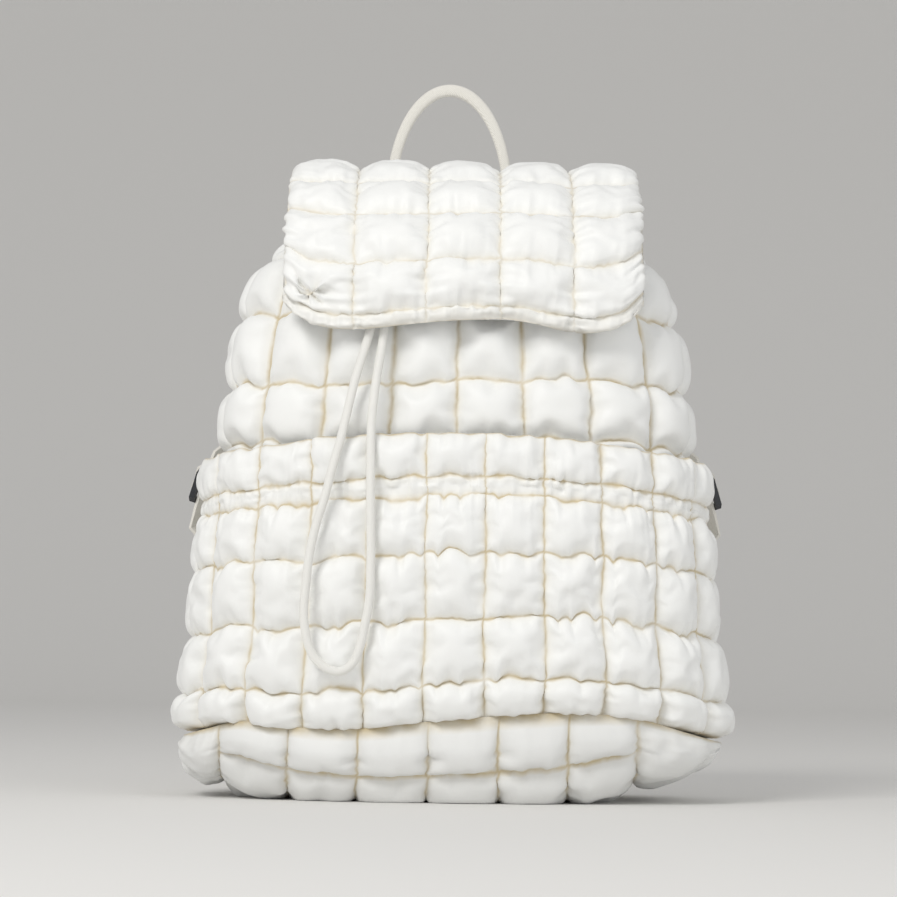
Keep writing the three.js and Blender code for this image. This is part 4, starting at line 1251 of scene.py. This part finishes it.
def make_handle():
    foot = MOUTH_HEIGHT + FLAP_RISE - FLAP_WALL
    y = BODY_DEPTH / 2 - HANDLE_SET_IN
    angle = np.linspace(math.pi, 0, HANDLE_POINTS)
    points = np.column_stack([
        HANDLE_SHIFT + HANDLE_SPAN / 2 * np.cos(angle),
        np.full(angle.shape, y),
        foot + HANDLE_RISE * np.sin(angle),
    ])
    across_at = lambda t: np.tile([0.0, 1.0, 0.0], (len(t), 1))
    place, across, out = frames_along(points, across_at, HANDLE_STEPS)
    t = turns(HANDLE_SIDES)
    thick = rounded(np.cos(t), HANDLE_SQUARE)[:, None] * HANDLE_THICKNESS / 2
    wide = rounded(np.sin(t), HANDLE_SQUARE)[:, None] * HANDLE_WIDTH / 2
    slim = lerp(HANDLE_LEG_SHARE, HANDLE_TOP_SHARE, (place[:, 2] - foot) / HANDLE_RISE)
    wide = wide * slim[:, None, None]
    rings = place[:, None] + across[:, None] * thick + out[:, None] * wide
    rings = rings[place[:, 2] > foot + HANDLE_ROOT]
    finish_piece(tube_object("handle_webbing", rings, WEBBING), ["carry_handle"])


BUCKLE_ACROSS = np.array([math.cos(BUCKLE_TURN), -math.sin(BUCKLE_TURN), 0])
PAD_STEPS = 132
PAD_SIDES = 48
PAD_CROWN = 0.6
PAD_SQUARE = 0.8
PAD_FULLNESS = 1.06
PAD_CREASE_LUMPS = (2.2, 1.6)
PAD_GATHER_LUMPS = 7
PAD_GATHER_REACH = 0.006
PAD_GATHER_CLEAR = 12
PAD_EDGE_MARK = 0.0009


def make_pad(side):
    """One shoulder pad: seams across it and along both edges, with gathers beside them."""
    points = np.column_stack([
        np.array(PAD_LINE["across"]) * BODY_WIDTH,
        np.array(PAD_LINE["behind"]) * BODY_DEPTH,
        RIM_HEIGHT + np.array(PAD_LINE["up"]) * BODY_HEIGHT,
    ])
    across_at = lambda t: lerp(np.array([1.0, 0, 0]), BUCKLE_ACROSS, t[:, None])
    place, across, out = frames_along(points, across_at, PAD_STEPS)
    at = np.linspace(0, 1, PAD_STEPS + 1)[:, None]
    turn = turns(PAD_SIDES)[None]
    cell = at * PAD_CELLS
    gap = seam_gap(cell)
    puff = swollen(gap, 4)
    crown = np.abs(np.sin(turn)) ** PAD_CROWN
    width = lerp(PAD_WIDTH, PAD_END_WIDTH, at) / 2 * (1 - PAD_PINCH * (1 - puff))
    to_seam = gap * PAD_CELL_LENGTH
    near = bell(to_seam, PAD_GATHER_REACH) + 0 * turn
    seed = 31 + (side > 0)
    spread = apart(np.round(cell), 3.0)
    gathers = noise_plane(turn * PAD_GATHER_LUMPS + 0 * at, spread, seed)
    along, around = PAD_CREASE_LUMPS
    crease = noise_plane(cell * along + 0 * turn, turn * around + 0 * at, seed + 2)
    folds = near * smooth(gap * PAD_GATHER_CLEAR) * gathers + puff * crease
    thick = PAD_THICKNESS / 2 * lerp(PAD_SEAM_SHARE, PAD_FULLNESS, puff) + PAD_GATHER * folds
    sideways = (width * rounded(np.cos(turn), PAD_SQUARE))[..., None]
    outward = (crown * thick * np.sign(np.sin(turn)))[..., None]
    rings = place[:, None] + across[:, None] * sideways + out[:, None] * outward
    rings[..., 0] *= side
    # Painted ochre crease shade at the cross seams and along both edges, and painted warm shade
    # beside the cross seams
    edge = (1 - np.abs(np.cos(turn))) * PAD_WIDTH / 2
    seam = np.maximum(bell(to_seam, SEAM_MARK["row"]), bell(edge, PAD_EDGE_MARK))
    name = "right" if side > 0 else "left"
    pad = tube_object("quilted_pad_" + name, rings, PUFFER, {"seam": seam, "near": near})
    finish_piece(pad, ["strap_pad_" + name])


make_sheet(body_quilt, body_inside, "body_shell")
make_sheet(pocket_quilt, pocket_inside, "front_pocket")
make_sheet(flap_quilt, flap_inside, "top_flap")
make_sheet(base_quilt, base_inside, "base_panel", SHADED_BASE_PUFFER, FLOOR_GAP)
make_handle()
make_pad(-1)
make_pad(1)


BEVEL_SEGMENTS = 2
BEVEL_ANGLE = math.radians(40)
WEBBING_BEVEL = 0.0003
BUCKLE_BEVEL = 0.0006


def bevelled(name, material, width):
    """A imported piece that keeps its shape, with softened edges and its own finish."""
    piece = bpy.data.objects[name]
    piece.data.materials.clear()
    piece.data.materials.append(material)
    bevel = piece.modifiers.new("soft_edges", "BEVEL")
    bevel.width = width
    bevel.segments = BEVEL_SEGMENTS
    bevel.limit_method = "ANGLE"
    bevel.angle_limit = BEVEL_ANGLE


for side in ("left", "right"):
    bevelled("strap_tab_" + side, WEBBING, WEBBING_BEVEL)
    bevelled("strap_webbing_" + side, WEBBING, WEBBING_BEVEL)
    bevelled("ladder_buckle_" + side, PLASTIC, BUCKLE_BEVEL)


# Floor and light
STAGE_REACH = 5.0
STAGE_CURVE = 1.5
STAGE_STEPS = 24
STAGE_COLOUR = (0.80, 0.79, 0.77, 1)
WORLD_STRENGTH = 0.54


def make_stage():
    material, _, _, shader = new_material("studio_paper")
    shader.inputs["Base Color"].default_value = STAGE_COLOUR
    shader.inputs["Roughness"].default_value = 0.9
    profile = [(-STAGE_REACH, 0.0), (STAGE_REACH - STAGE_CURVE, 0.0)]
    for t in np.linspace(0, math.pi / 2, STAGE_STEPS)[1:]:
        back = STAGE_REACH - STAGE_CURVE * (1 - math.sin(t))
        profile.append((back, STAGE_CURVE * (1 - math.cos(t))))
    profile.append((STAGE_REACH, STAGE_REACH))
    points = [(x, y, z) for x in (-STAGE_REACH, STAGE_REACH) for y, z in profile]
    n = len(profile)
    faces = [(k, k + 1, n + k + 1, n + k) for k in range(n - 1)]
    mesh_object("studio_sweep", points, [f[::-1] for f in faces], material)


def area_light(name, at, aim, size, power, colour):
    data = bpy.data.lights.new(name, "AREA")
    data.size = size
    data.energy = power
    data.color = colour
    light = bpy.data.objects.new(name, data)
    light.location = at
    light.rotation_euler = (Vector(aim) - Vector(at)).to_track_quat("-Z", "Y").to_euler()
    bpy.context.scene.collection.objects.link(light)


make_stage()
area_light("key", (-1.0, -1.85, 1.75), (0, 0, 0.22), 1.0, 27, (1, 0.99, 0.97))
area_light("fill", (1.6, -1.6, 0.6), (0, 0, 0.2), 2.0, 8, (0.96, 0.98, 1))
world = bpy.data.worlds.new("studio")
world.use_nodes = True
world.node_tree.nodes["Background"].inputs["Color"].default_value = (1, 1, 1, 1)
world.node_tree.nodes["Background"].inputs["Strength"].default_value = WORLD_STRENGTH
bpy.context.scene.world = world
bpy.context.scene.view_settings.view_transform = "Standard"
